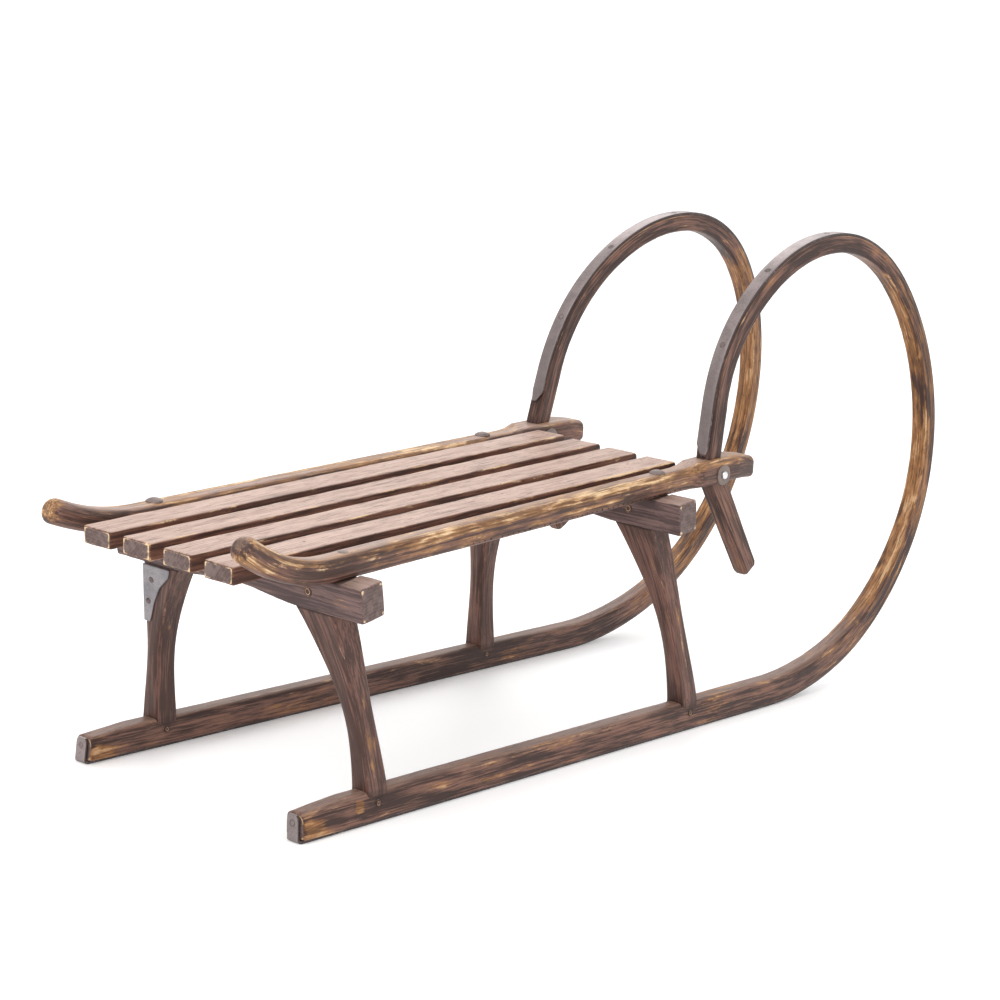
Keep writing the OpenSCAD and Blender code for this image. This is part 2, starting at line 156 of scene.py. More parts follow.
def ease(x, low, high):
    t = min(1.0, max(0.0, (x - low) / (high - low)))
    return t * t * (3 - 2 * t)


def horn_path(step):
    """Stations from the first bend to the end of the horn's round part."""
    p = (STRAIGHT, 0.0, 0.0, STRAIGHT)
    path = []
    for bend in HORN_BENDS:
        path += bent(p, bend, step)
        p = path[-1]
    return path


REAR_X = -75
MID = round((max(p[0] for p in horn_path(1.0)) + REAR_X) / 2, 3)


def wood_path(step=4.5):
    start = (WOOD_START, 0.0, 0.0, WOOD_START)
    path = [start, forward(start, 0.5), forward(start, 1.6)]
    path += straight(path[-1], STRAIGHT - path[-1][0], step) + horn_path(step)
    path += straight(path[-1], STUB_LEAD, step)
    path += bent(path[-1], STUB_BEND, 2.5)
    path += straight(path[-1], STUB - 5, step)
    return path + [forward(path[-1], d) for d in (2.5, 4, 4.7, 5)]


def shoe_path(tail, step=5):
    p = (0.0, SHOE_CAP, -90.0, -SHOE_CAP)
    path = [p, forward(p, 0.5)] + straight(p, SHOE_CAP - CAP_BEND[0], 3)
    path += bent(path[-1], CAP_BEND, 0.7)
    path += straight(path[-1], STRAIGHT - path[-1][0], step) + horn_path(step)
    return path + straight(path[-1], tail, 3)


def plane_y(x, z):
    toe = 0.0
    if z > TOE_LOW:
        toe = TOE_IN * (x - TOE_X) * math.sin(math.pi * min(z - TOE_LOW, TOE_HIGH) / TOE_HIGH)
    return GAUGE / 2 - LEAN_IN * z + toe


def beside(p, n):
    a = math.radians(p[2])
    return p[0] - n * math.sin(a), p[1] + n * math.cos(a)


def wood_t(p):
    thick = min(lookup(p[0], [(WOOD_START, RUNNER_T - 4), (60, RUNNER_T)]),
                lookup(p[2], [(10, RUNNER_T), (80, CROWN_T + 1), (190, CROWN_T), (255, HORN_T),
                              (300, STUB_T)]))
    if p[2] > 300:
        thick -= lookup(p[1], [(STUB_END, STUB_TAPER), (STUB_HIGH, 0)])
    return thick


def wood_w(p):
    return lookup(p[2], [(10, RUNNER_W), (80, HORN_W), (255, HORN_END_W)])


# ---- seat, rails and frames ----
def seat_top(x):
    return SEAT_Z + SEAT_SLOPE * x


def on_seat(x, q):
    """A point in the seat's own frame at x, in the maker's frame."""
    a = math.radians(SEAT_RISE)
    return (x + q[0] * math.cos(a) - q[2] * math.sin(a), q[1],
            seat_top(x) + q[0] * math.sin(a) + q[2] * math.cos(a))


def rail_y(x):
    return 130.7 - 0.011 * max(x, 0)


def rail_mid(x):
    drop = DROOP * max(0, x - DROOP_X) ** 2
    z = seat_top(x) - RAIL_H / 2 / math.cos(math.radians(SEAT_RISE)) - drop
    return (x, z, SEAT_RISE, x)


def rail_path(side):
    angle = SWEEPS[side]
    low = rail_mid(RAIL_SWEEP_X)
    turn = math.radians(angle)
    radius = (RAIL_SWEEP_L - RAIL_TAIL * math.cos(turn)) / math.sin(turn)
    arc = [turned(low, radius, -angle * i / 26) for i in range(26, -1, -1)]
    tail = [forward(arc[0], d - RAIL_TAIL) for d in (0.05, 0.5, 1.3, 2.6, 4.5, 7, 10, 13, 16, 19)]
    body = [rail_mid(x) for x in np.linspace(RAIL_SWEEP_X + 4.5, RAIL_TIP - 12, 150)]
    tip = [rail_mid(RAIL_TIP - d) for d in (9, 6.5, 4.5, 2.8, 1.4, 0.5, 0.05)]
    return tail + arc + body + tip


def bar_low(x, lean):
    a = math.radians(lean)
    return seat_top(x - BAR_FULL_H * math.sin(a)) - SLAT_T - BAR_FULL_H * math.cos(a)


def on_bar(x, lean, q):
    a = math.radians(lean)
    return (x + q[0] * math.cos(a) - q[2] * math.sin(a), q[1],
            bar_low(x, lean) + q[0] * math.sin(a) + q[2] * math.cos(a))


# ---- mesh making ----
def loop(corners, radii, flat=5, arc=5):
    """A closed outline with rounded corners: its points, and how near a corner each one is."""
    corners = [np.array(c, float) for c in corners]
    points, edges, n = [], [], len(corners)
    starts, ends = [], []
    for i, c in enumerate(corners):
        before, after = corners[i - 1] - c, corners[(i + 1) % n] - c
        starts.append(c + before / np.linalg.norm(before) * radii[i])
        ends.append(c + after / np.linalg.norm(after) * radii[i])
    weight = math.cos(math.pi / 4)
    for i, c in enumerate(corners):
        for k in range(arc + 1):
            t = k / arc
            parts = np.array([(1 - t) ** 2, 2 * weight * t * (1 - t), t * t])
            points.append((parts[0] * starts[i] + parts[1] * c + parts[2] * ends[i]) / parts.sum())
            edges.append(0.65 + 0.35 * math.sin(math.pi * t))
        a, b = ends[i], starts[(i + 1) % n]
        span = np.linalg.norm(b - a)
        for k in range(1, flat):
            t = (1 - math.cos(math.pi * k / flat)) / 2
            points.append(a + (b - a) * t)
            edges.append(0.65 * math.exp(-span * min(t, 1 - t) / 1.6))
    return np.array(points), np.array(edges)


class Skin:
    """Rings of points that are joined into one closed skin, with values for its finish."""

    def __init__(self):
        self.points, self.wood, self.values = [], [], []
        self.faces, self.end_faces = [], []
        self.count = 0

    def rings(self, rings, woods, edges, extra=None):
        """Joins the rings and closes both ends. extra holds two values for each point: how bare the
        wood is, and how dark it is, from real dirt and from painted shade.
        """
        n, base = len(rings[0]), len(self.points)
        for i, ring in enumerate(rings):
            for j in range(n):
                bare, grime = extra[i][j] if extra is not None else (0.0, 0.0)
                self.points.append(ring[j])
                self.wood.append(woods[i][j])
                self.values.append((edges[i][j], bare, grime))
        for i in range(len(rings) - 1):
            for j in range(n):
                a, b = base + i * n + j, base + i * n + (j + 1) % n
                self.faces.append((a, b, b + n, a + n))
        for i in (0, len(rings) - 1):
            first = base + i * n
            ring = np.array(rings[i])
            wood = np.array(woods[i])
            for inward, edge in ((0.84, 0.25), (0.62, 0.0)):
                inner = len(self.points)
                for j in range(n):
                    self.points.append(tuple(ring.mean(0) + (ring[j] - ring.mean(0)) * inward))
                    self.wood.append(tuple(wood.mean(0) + (wood[j] - wood.mean(0)) * inward))
                    self.values.append((edge, 0.0, 0.0))
                for j in range(n):
                    k = (j + 1) % n
                    face = (first + j, first + k, inner + k, inner + j)
                    self.end_faces.append(len(self.faces))
                    self.faces.append(face[::-1] if i == 0 else face)
                first = inner
            mid = len(self.points)
            self.points.append(tuple(ring.mean(0)))
            self.wood.append(tuple(wood.mean(0)))
            self.values.append((0.0, 0.0, 0.0))
            for j in range(n):
                a, b = first + j, first + (j + 1) % n
                self.end_faces.append(len(self.faces))
                self.faces.append((b, a, mid) if i == 0 else (a, b, mid))

    def object(self, name, seed, dents, wear, blobs=()):
        """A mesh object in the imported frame, dented and rubbed by fixed noise."""
        points = (np.array(self.points, float) - (MID, 0, 0)) * MM
        wood = np.array(self.wood, float) * MM
        faces = self.faces
        corners = points[np.array([(f[0], f[1], f[2]) for f in faces])]
        middle = points.mean(0)
        cross = np.cross(corners[:, 1] - corners[:, 0], corners[:, 2] - corners[:, 0])
        if np.einsum("ij,ij->", corners[:, 0] - middle, cross) < 0:
            faces = [tuple(reversed(f)) for f in faces]
        mesh = bpy.data.meshes.new(name)
        mesh.from_pydata(points.tolist(), [], faces)
        normals = np.empty(len(points) * 3)
        mesh.vertex_normals.foreach_get("vector", normals)
        normals = normals.reshape(-1, 3)
        values = np.array(self.values, float)
        off = Vector((seed * 7.31, seed * 3.17, seed * 5.03))
        for i, w in enumerate(wood):
            at = Vector((w[0] * 14, w[1] * 30, w[2] * 30)) + off
            wave = noise.noise(at)
            fine = noise.noise(Vector((w[0] * 95, w[1] * 130, w[2] * 130)) + off)
            edge = values[i, 0]
            push = dents * (0.6 * wave + 0.4 * fine)
            push -= wear * edge * max(0.0, 0.35 + wave + 0.8 * fine)
            points[i] += normals[i] * push * MM
        mesh.vertices.foreach_set("co", points.ravel())
        # Painted top light: how much each point faces up; the wood shader gives such faces a
        # lighter copy of the stain.
        fade = np.clip(normals[:, 2], 0, 1) ** 1.5
        # A blob is (x, y, z, radius, bare, darkening, extra): its darkening is real dirt at some
        # blobs and painted shade at joints at others; extra values add painted top light.
        for x, y, z, radius, bare, grime, *pale in blobs:
            at = (np.array((x, y, z)) - (MID, 0, 0)) * MM
            near = np.exp(-(((points - at) ** 2).sum(1)) / (radius * MM) ** 2)
            values[:, 1] += bare * near
            values[:, 2] += grime * near
            fade += sum(pale) * near
        put(mesh, "wood", "FLOAT_VECTOR", wood)
        for label, column in (("edge", values[:, 0]), ("bare", values[:, 1]),
                              ("grime", values[:, 2]), ("fade", fade)):
            put(mesh, label, "FLOAT", column)
        ends = np.zeros(len(faces))
        ends[self.end_faces] = 1
        put(mesh, "end", "FLOAT", ends, "FACE")
        mesh.shade_smooth()
        return linked(name, mesh)


class Sweep:
    """Rings gathered one by one, with their wood, edge and wear values."""

    def __init__(self):
        self.parts = ([], [], [], [])

    def add(self, *ring):
        for part, value in zip(self.parts, ring):
            part.append(value)

    def skin(self):
        skin = Skin()
        skin.rings(*self.parts)
        return skin


def put(mesh, name, kind, values, domain="POINT"):
    data = mesh.attributes.new(name, kind, domain)
    field = "vector" if kind == "FLOAT_VECTOR" else "value"
    data.data.foreach_set(field, np.asarray(values, np.float32).ravel())


def linked(name, mesh):
    piece = bpy.data.objects.new(name, mesh)
    bpy.context.scene.collection.objects.link(piece)
    return piece


def finished(piece, material, slot, *nodes):
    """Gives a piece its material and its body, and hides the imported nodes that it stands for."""
    if material is not None:
        piece.data.materials.clear()
        piece.data.materials.append(material)
    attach(piece, BODY)
    if nodes:
        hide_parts(*nodes)


def lathe(outline, around=32):
    """A closed turned mesh from (radius, height) pairs, its first and last on the axis."""
    points, faces = [], []
    rings = outline[1:-1]
    for r, z in rings:
        for j in range(around):
            a = 2 * math.pi * j / around
            points.append((r * math.cos(a) * MM, r * math.sin(a) * MM, z * MM))
    low, high = len(points), len(points) + 1
    points += [(0, 0, outline[0][1] * MM), (0, 0, outline[-1][1] * MM)]
    for i in range(len(rings) - 1):
        for j in range(around):
            a, b = i * around + j, i * around + (j + 1) % around
            faces.append((a, b, b + around, a + around))
    last = (len(rings) - 1) * around
    for j in range(around):
        k = (j + 1) % around
        faces.append((k, j, low))
        faces.append((last + j, last + k, high))
    mesh = bpy.data.meshes.new("turned")
    mesh.from_pydata(points, [], faces)
    mesh.shade_smooth()
    return mesh


# ---- node trees ----
def times(value, factor):
    return tuple(min(1.0, c * f) for c, f in zip(value, factor))


class Net:
    """A node tree, and the one method that adds nodes to it."""

    def __init__(self, tree):
        self.tree = tree

    def make(self, kind, settings=None, values=(), out=0):
        node = self.tree.nodes.new(kind)
        for key, value in (settings or {}).items():
            if key == "stops":
                ramp = node.color_ramp
                while len(ramp.elements) < len(value):
                    ramp.elements.new(0.5)
                for element, (place, colour) in zip(ramp.elements, value):
                    element.position, element.color = place, (*colour, 1)
            elif key == "items":
                for _ in range(value):
                    node.index_switch_items.new()
            else:
                setattr(node, key, value)
        pairs = values.items() if isinstance(values, dict) else enumerate(values)
        for key, value in pairs:
            if value is None:
                continue
            socket = node.inputs[key]
            if isinstance(value, Wire):
                self.tree.links.new(value.socket, socket)
            else:
                if socket.type == "RGBA" and len(value) == 3:
                    value = (*value, 1)
                socket.default_value = value
        if out is None:
            return node
        return Wire(self, node.outputs[out])

    def mix(self, factor, a, b, blend="MIX"):
        return self.make("ShaderNodeMix", {"data_type": "RGBA", "blend_type": blend},
                         {0: factor, 6: a, 7: b}, 2)

    def vector(self, operation, *values):
        return self.make("ShaderNodeVectorMath", {"operation": operation}, values)

    def noise(self, at, detail=3.0, rough=0.55, twist=0.0):
        return self.make("ShaderNodeTexNoise", {}, {
            "Vector": at, "Scale": 1.0, "Detail": detail, "Roughness": rough,
            "Distortion": twist})

    def step(self, value, low, high):
        return self.make("ShaderNodeMapRange", {"interpolation_type": "SMOOTHSTEP"},
                         (value, low, high, 0.0, 1.0))


class Wire:
    """A socket on which sums are written as Python expressions."""

    def __init__(self, net, socket):
        self.net, self.socket = net, socket

    def _sum(self, operation, *values):
        return self.net.make("ShaderNodeMath", {"operation": operation}, values)

    def __add__(self, other):
        return self._sum("ADD", self, other)

    __radd__ = __add__

    def __sub__(self, other):
        return self._sum("SUBTRACT", self, other)

    def __rsub__(self, other):
        return self._sum("SUBTRACT", other, self)

    def __mul__(self, other):
        return self._sum("MULTIPLY", self, other)

    __rmul__ = __mul__

    def __truediv__(self, other):
        return self._sum("DIVIDE", self, other)

    def __pow__(self, other):
        return self._sum("POWER", self, other)

    def sine(self):
        return self._sum("SINE", self)


class Finish(Net):
    """A material, with its shader node filled in at the end."""

    def __init__(self, name):
        self.material = bpy.data.materials.new(name)
        self.material.use_nodes = True
        self.material.node_tree.nodes.clear()
        super().__init__(self.material.node_tree)

    def attribute(self, name, out="Fac"):
        return self.make("ShaderNodeAttribute", {"attribute_name": name}, (), out)

    def shade(self, colour, rough, metal=0.0, height=None, depth=0.0003, strength=1.0, **fixed):
        values = {"Base Color": colour, "Roughness": rough, "Metallic": metal, **fixed}
        if height is not None:
            values["Normal"] = self.make("ShaderNodeBump", {}, {
                "Strength": strength, "Distance": depth, "Height": height})
        surface = self.make("ShaderNodeBsdfPrincipled", {}, values)
        self.make("ShaderNodeOutputMaterial", {}, {"Surface": surface}, None)
        return self.material


def worn_wood(name, seed, dark, red, faded, gold, pale, end, rub=0.0, edge_rub=1.0, fade=0.8,
              rough=0.5, pith=(0.03, -0.045), ends=0.95):
    """Stained wood, rubbed through to the bare wood, with its grain along the piece."""
    f = Finish(name)
    slat = f.attribute("slat")
    at = f.vector("ADD", f.attribute("wood", "Vector"),
                  f.make("ShaderNodeCombineXYZ", {}, (slat * 1.7 + seed, slat * 0.31, slat * 0.17)))
    edge, bare = f.attribute("edge"), f.attribute("bare")
    grime, up, cut = f.attribute("grime"), f.attribute("fade"), f.attribute("end")
    fibre = f.noise(f.vector("MULTIPLY", at, (17, 430, 430)), 5.0, 0.66)
    streak = f.noise(f.vector("MULTIPLY", at, (7, 150, 150)), 4.0, 0.6, 0.3)
    blotch = f.noise(f.vector("MULTIPLY", at, (9, 34, 34)), 3.0, 0.55, 0.6)
    patch = f.noise(f.vector("MULTIPLY", at, (34, 120, 120)), 5.0, 0.65, 0.5)
    grit = f.noise(f.vector("MULTIPLY", at, (190, 330, 330)), 3.0, 0.6)
    pore = f.step(f.noise(f.vector("MULTIPLY", at, (38, 620, 620)), 2.0, 0.5), 0.57, 0.68)
    parts = f.make("ShaderNodeSeparateXYZ", {}, (at,), None)
    y, z = (Wire(f, parts.outputs[i]) for i in (1, 2))
    sway = f.noise(f.vector("MULTIPLY", at, (5, 16, 16)), 2.0, 0.5)
    far = ((y - pith[0]) ** 2 + (z - pith[1]) ** 2) ** 0.5
    rings = ((far + sway * 0.009) * (2 * math.pi / 0.0034)).sine() * 0.5 + 0.5
    lines = rings ** 3.0
    grain = fibre * 0.62 + streak * 0.38
    stain = f.mix(f.step(grain + (blotch - 0.5) * 0.45, 0.43, 0.59), dark, red)
    stain = f.mix(f.step(lines + fibre * 0.8, 0.75, 1.35) * 0.4, stain, dark)
    # Painted top light: faces that look up get a lighter, pinker copy of the stain, as if lit from
    # above.
    top = f.mix(f.step(grain + (patch - 0.5) * 0.3, 0.38, 0.60), f.mix(0.45, faded, red), faded)
    top = f.mix(f.step(lines + fibre * 0.5, 0.85, 1.35) * 0.3, top, red)
    faded_to = f.step(blotch * 0.6 + streak * 0.5 + up * 0.35, 0.52, 0.86)
    stain = f.mix(up * fade * faded_to, stain, top)
    wood = f.mix(f.step(grain + (patch - 0.5) * 0.3, 0.42, 0.62), gold, pale)
    wood = f.mix(f.step(lines + streak * 0.5, 0.75, 1.25) * 0.45, wood, f.mix(0.35, gold, red))
    warm = bare * 1.5 + (blotch - 0.5) * 1.3 + (patch - 0.5) * 1.2 + (streak - 0.5) * 1.6
    honey = f.mix(f.step(grain + (patch - 0.5) * 0.4, 0.40, 0.60), times(gold, (0.4, 0.36, 0.34)),
                  gold)
    stain = f.mix(f.step(warm + rub, 0.15, 0.65) * 0.85, stain, honey)
    worn = bare * 0.6 + edge * edge_rub * 0.4 + rub + (patch - 0.5) * 2.0
    worn = worn + (streak - 0.5) * 1.6 + (fibre - 0.5) * 1.3
    worn = f.step(worn, 0.36, 0.82)
    colour = f.mix(worn, stain, wood)
    colour = f.mix(pore * 0.6, colour, times(dark, (0.7, 0.7, 0.7)))
    dirt_and_shade = f.step(grit + (fibre - 0.5) * 0.3, 0.655, 0.72) * 0.6
    # Darker also where the point attribute for dirt and shade is high: real dirt, and painted shade
    # in joints, in crevices and under parts.
    dirt_and_shade = dirt_and_shade + f.step(grime + (patch - 0.5) * 0.6, 0.3, 0.8) * 0.8
    colour = f.mix(dirt_and_shade, colour, times(dark, (0.4, 0.4, 0.4)))
    face = f.mix(f.step(streak + blotch * 0.4, 0.5, 0.85), end, times(end, (0.55, 0.5, 0.5)))
    face = f.mix(f.step(lines + grit * 0.6, 0.9, 1.5) * 0.5, face, times(end, (1.4, 1.3, 1.25)))
    face = f.mix(f.step(edge + (patch - 0.5) * 1.2, 0.35, 0.75), face, pale)
    colour = f.mix(cut * ends, colour, face)
    gleam = rough + (fibre - 0.5) * 0.3 + worn * 0.12 + dirt_and_shade * 0.15
    height = fibre * 0.6 + lines * 0.1 + streak * 0.35 + patch * 0.4 - worn * 0.15
    height = height - dirt_and_shade * 0.4 - pore * 0.3
    return f.shade(colour, gleam, 0.0, height, 0.0007, 0.6, **{"Specular IOR Level": 0.22})


def old_iron(name, dark, light, rust, rough=0.42, metal=0.75):
    """Dull iron, lighter where it is rubbed, with a little rust in its hollows."""
    f = Finish(name)
    at = f.make("ShaderNodeTexCoord", {}, (), "Object")
    cloud = f.noise(f.vector("MULTIPLY", at, (30, 30, 30)), 4.0, 0.6, 0.4)
    spots = f.noise(f.vector("MULTIPLY", at, (420, 420, 420)), 4.0, 0.65)
    edge, grime = f.attribute("edge"), f.attribute("grime")
    colour = f.mix(f.step(cloud + (spots - 0.5) * 0.9 + edge * 0.08, 0.25, 0.75), dark, light)
    rusty = f.step(spots + (cloud - 0.5) * 0.5, 0.58, 0.72)
    colour = f.mix(rusty * 0.45, colour, rust)
    # Darker where the attribute for dirt and shade is high: painted shade on the narrow side faces
    # of the shoes and the plate, and the shoes' darker floor part and strap ends.
    colour = f.mix(grime * f.step(spots + cloud, 0.6, 1.1), colour, times(dark, (0.4, 0.37, 0.36)))
    height = spots * 0.7 + cloud * 0.3 - rusty * 0.3
    return f.shade(colour, rough + (spots - 0.5) * 0.35 + rusty * 0.2, metal - rusty * 0.4,
                   height, 0.0003, 0.5)


# ---- pieces ----
def runner(side, label):
    """One runner with its round horn and the stub below the rail."""
    sweep = Sweep()
    path = wood_path()
    total = path[-1][3]
    for p in path:
        t, w = wood_t(p), wood_w(p)
        far_r = lookup(p[2], [(20, 6.5), (90, 4)])
        left = total - p[3]
        near_r = 1.6 + 2.4 * (1 - ease(left, 140, 180))
        inset = max(0, 1.6 - (p[3] - WOOD_START)) * 0.8 + lookup(left, [(0, 2.4), (1, 1), (5, 0)])
        corners = [(inset, -w / 2 + inset), (t - inset, -w / 2 + inset),
                   (t - inset, w / 2 - inset), (inset, w / 2 - inset)]
        outline, edge = loop(corners, [near_r, far_r, far_r, near_r])
        ring, wood, more = [], [], []
        round_part = lookup(p[2], [(8, 0), (25, 0.45), (45, 1), (125, 1), (150, 0.45), (170, 0.12),
                                   (195, 0.2), (215, 0.4), (250, 0.35), (265, 0)])
        for n, y in outline:
            q = beside(p, WOOD_N + n)
            ring.append((q[0], side * (plane_y(*q) + y), q[1]))
            wood.append((p[3], y, n + (0 if side > 0 else 60)))
            inner = ease(n / t, 0.62, 0.98)
            near = ease(-y * side, 0.1 * w, 0.45 * w) * (1 if p[2] < 160 else 0.35)
            bare = round_part * max(0.44 * inner, 0.36 * near)
            # Painted crevice shade: the lowest 2.2 mm of the wood, next to the shoe, is darker,
            # except along the stub.
            shoe_gap_shade = 0.35 * ease(2.2 - n, 0, 2.2) * (1 if left > 180 else 0)
            more.append((bare, shoe_gap_shade))
        sweep.add(ring, wood, edge, more)
    y = side * GAUGE / 2
    # A blob is (x, y, z, radius, bare, darkening). The darkening at x 640 is painted shade where
    # the horn passes the rail, and at x 104 and 611 on the runner's top painted contact shade round
    # the leg feet; round the peg ends it is a dark joint.
    blobs = [
        (10, y - 12, 15, 10, 0.62, 0), (25, y - 12, 13, 12, 0.45, 0),
        (300, y - 12, 22, 60, 0.12, 0), (660, y - 6, 34, 40, 0.3, 0),
        (640, side * 124, 292, 17, 0, 0.7), (104, y, 33, 20, 0, 0.55), (611, y, 33, 20, 0, 0.5),
        (104, y - 12, 20, 5.5, 0, 0.6), (611, y - 12, 20, 5.5, 0, 0.6),
    ]
    if side < 0:
        blobs.append((79, y - 11, 21, 5, 1.8, 0))
    return sweep.skin().object(f"runner_{label}_wood", 3 if side > 0 else 8, 0.35, 0.5, blobs)


def shoe(side, label):
    """The iron strip under a runner, from its cap round to the end of the strap."""
    sweep = Sweep()
    path = shoe_path(STRAP_TAILS[side])
    total = path[-1][3]
    for p in path:
        w = min(lookup(p[2], [(-90, SHOE_W - 3), (0, SHOE_W)]), wood_w(p) - 3)
        top = ease(p[3] + SHOE_CAP, -0.5, 4)
        w = w - (1 - top) * 4
        end = max(0.0, 12 - (total - p[3])) / 12
        outline, edge = loop([(0, -w / 2 + end * w * 0.45), (SHOE_T, -w / 2 + end * w * 0.45),
                              (SHOE_T, w / 2 - end * w * 0.15), (0, w / 2 - end * w * 0.15)],
                             [0.7, 0.3, 0.3, 0.7], 3, 3)
        ring = []
        for n, y in outline:
            q = beside(p, n)
            ring.append((q[0], side * (plane_y(*q) + y), q[1]))
        wood = [(p[3], y, n) for n, y in outline]
        # Darker along the floor and at the strap's end, lighter round the horn.
        grime = lookup(p[3], [(-4, 0.35), (10, 0.9), (STRAIGHT + 250, 0.9), (STRAIGHT + 420, 0.1),
                              (total - 330, 0.05), (total - 60, 0.5)])
        # Painted crevice shade: the shoe's narrow side faces, under the wood, are darkened.
        rim_shade = [max(grime, 1.3 * ease(abs(y) - w / 2, -0.9, -0.3)) for _, y in outline]
        sweep.add(ring, wood, edge, [(0.0, dirt_and_shade) for dirt_and_shade in rim_shade])
    return sweep.skin().object(f"shoe_{label}_strip", 13 if side > 0 else 16, 0.12, 0.15)


def leg_rise(end):
    bar_x, lean, _ = BARS[end]
    return bar_low(bar_x, lean) - GAP - RUNNER_TOP


def leg_at(end, v):
    """A leg at v of its height: its middle x, inner and outer y, depth and edge radius."""
    bar_x, _, foot_x = BARS[end]
    rise = leg_rise(end)
    foot_in = LEG_FOOT_OUT - LEG_FOOT_W
    flare = foot_in - LEG_TOP_IN
    radius = (flare * flare + rise * rise) / (2 * flare)
    inner = foot_in - radius + math.sqrt(radius * radius - (v * rise) ** 2)
    outer = LEG_FOOT_OUT + (LEG_TOP_OUT - LEG_FOOT_OUT) * v + LEG_BELLY * math.sin(math.pi * v)
    r = LEG_EDGE + (LEG_WAIST * math.sin(math.pi * v / 0.9) ** 2 if v < 0.9 else 0)
    return (foot_x + (bar_x - foot_x) * v ** 1.15, inner, outer,
            LEG_D + (LEG_TOP_D - LEG_D) * v ** 3, r)


def leg_z(end, u, v, dx):
    return RUNNER_TOP + u * leg_rise(end) + math.tan(math.radians(BARS[end][1])) * v * dx


def plate():
    """The iron plate nailed on the rear face of the left rear leg."""
    sweep = Sweep()
    for u in np.linspace(PLATE_W[0][0], PLATE_W[-1][0], 40):
        x, _, outer, d, r = leg_at("rear", u)
        w = lookup(u, PLATE_W)
        outline, edge = loop([(-PLATE_T, -w / 2), (0, -w / 2), (0, w / 2), (-PLATE_T, w / 2)],
                             [0.5, 0.2, 0.2, 0.5], 6, 3)
        ring = []
        for q0, q1 in outline:
            dx = q0 - d / 2 - PLATE_GAP
            ring.append((x + dx, outer - r / 3 - w / 2 + q1, leg_z("rear", u, u, dx)))
        wood = [(u * leg_rise("rear"), y, n) for n, y in outline]
        # Painted shade along the plate's narrow edges, where it lies on the leg.
        rim_shade = [0.9 * ease(abs(y) - w / 2, -0.9, -0.2) for _, y in outline]
        sweep.add(ring, wood, edge, [(0.0, dirt_and_shade) for dirt_and_shade in rim_shade])
    return sweep.skin().object("leg_plate_iron", 31, 0.2, 0.2)


def leg(end, side, label):
    """One leg, from the runner up into the cross bar."""
    rise = leg_rise(end)
    sweep = Sweep()
    heights = [-5 / rise] + list(np.linspace(0, 1, 62)) + [1 + 1.2 / rise]
    for u in heights:
        v = min(1.0, max(0.0, u))
        x, inner, outer, d, r = leg_at(end, v)
        # Painted contact shade: the leg is darker in its lowest 10 mm, where it stands on the
        # runner.
        foot = ease(10 - v * rise, 0, 10)
        w = outer - inner
        r_front = 1.4 + (r - LEG_EDGE) * 0.7
        outline, edge = loop([(-d / 2, -w / 2), (d / 2, -w / 2), (d / 2, w / 2), (-d / 2, w / 2)],
                             [r_front, r, r, r_front], 6, 5)
        ring, wood, more = [], [], []
        for q0, q1 in outline:
            dx = -q0
            ring.append((x + dx, side * ((inner + outer) / 2 + q1), leg_z(end, u, v, dx)))
            wood.append((u * rise, q1 + (20 if end == "rear" else 70), dx + side * 45))
            # Painted contact shade in the top 3 mm, where the leg goes into the cross bar.
            seam_shade = 0.75 * ease(v * rise, rise - 3, rise)
            more.append((0.0, 0.5 * foot * foot + seam_shade))
        sweep.add(ring, wood, edge * (1 - 0.7 * (r / 8.5)), more)
    blobs = []
    if (end, side) == ("rear", -1):
        blobs = [(93, -156, 82, 13, 0.4, 0), (90, -152, 118, 9, 0.3, 0), (96, -158, 58, 8, 0.3, 0)]
    if (end, side) == ("rear", 1):
        blobs = [(84, 122, 136, 5, 0.7, 0), (58, 76, 187, 10, 1.3, 0)]
    if (end, side) == ("front", -1):
        blobs = [(592, -146, 130, 12, 0.18, 0)]
    seed = 21 + side * 2 + (1 if end == "rear" else 0)
    return sweep.skin().object(f"leg_{end}_{label}_wood", seed, 0.45, 0.4, blobs)


def bar_top(x, lean, xl, k):
    """Height in the bar's frame of a plane k below the seat's top."""
    a = math.radians(lean)
    sink = k / math.cos(math.radians(SEAT_RISE))
    level = SEAT_Z + SEAT_SLOPE * (x + xl * math.cos(a)) - sink
    return (level - bar_low(x, lean) - xl * math.sin(a)) / (
        math.cos(a) + SEAT_SLOPE * math.sin(a))


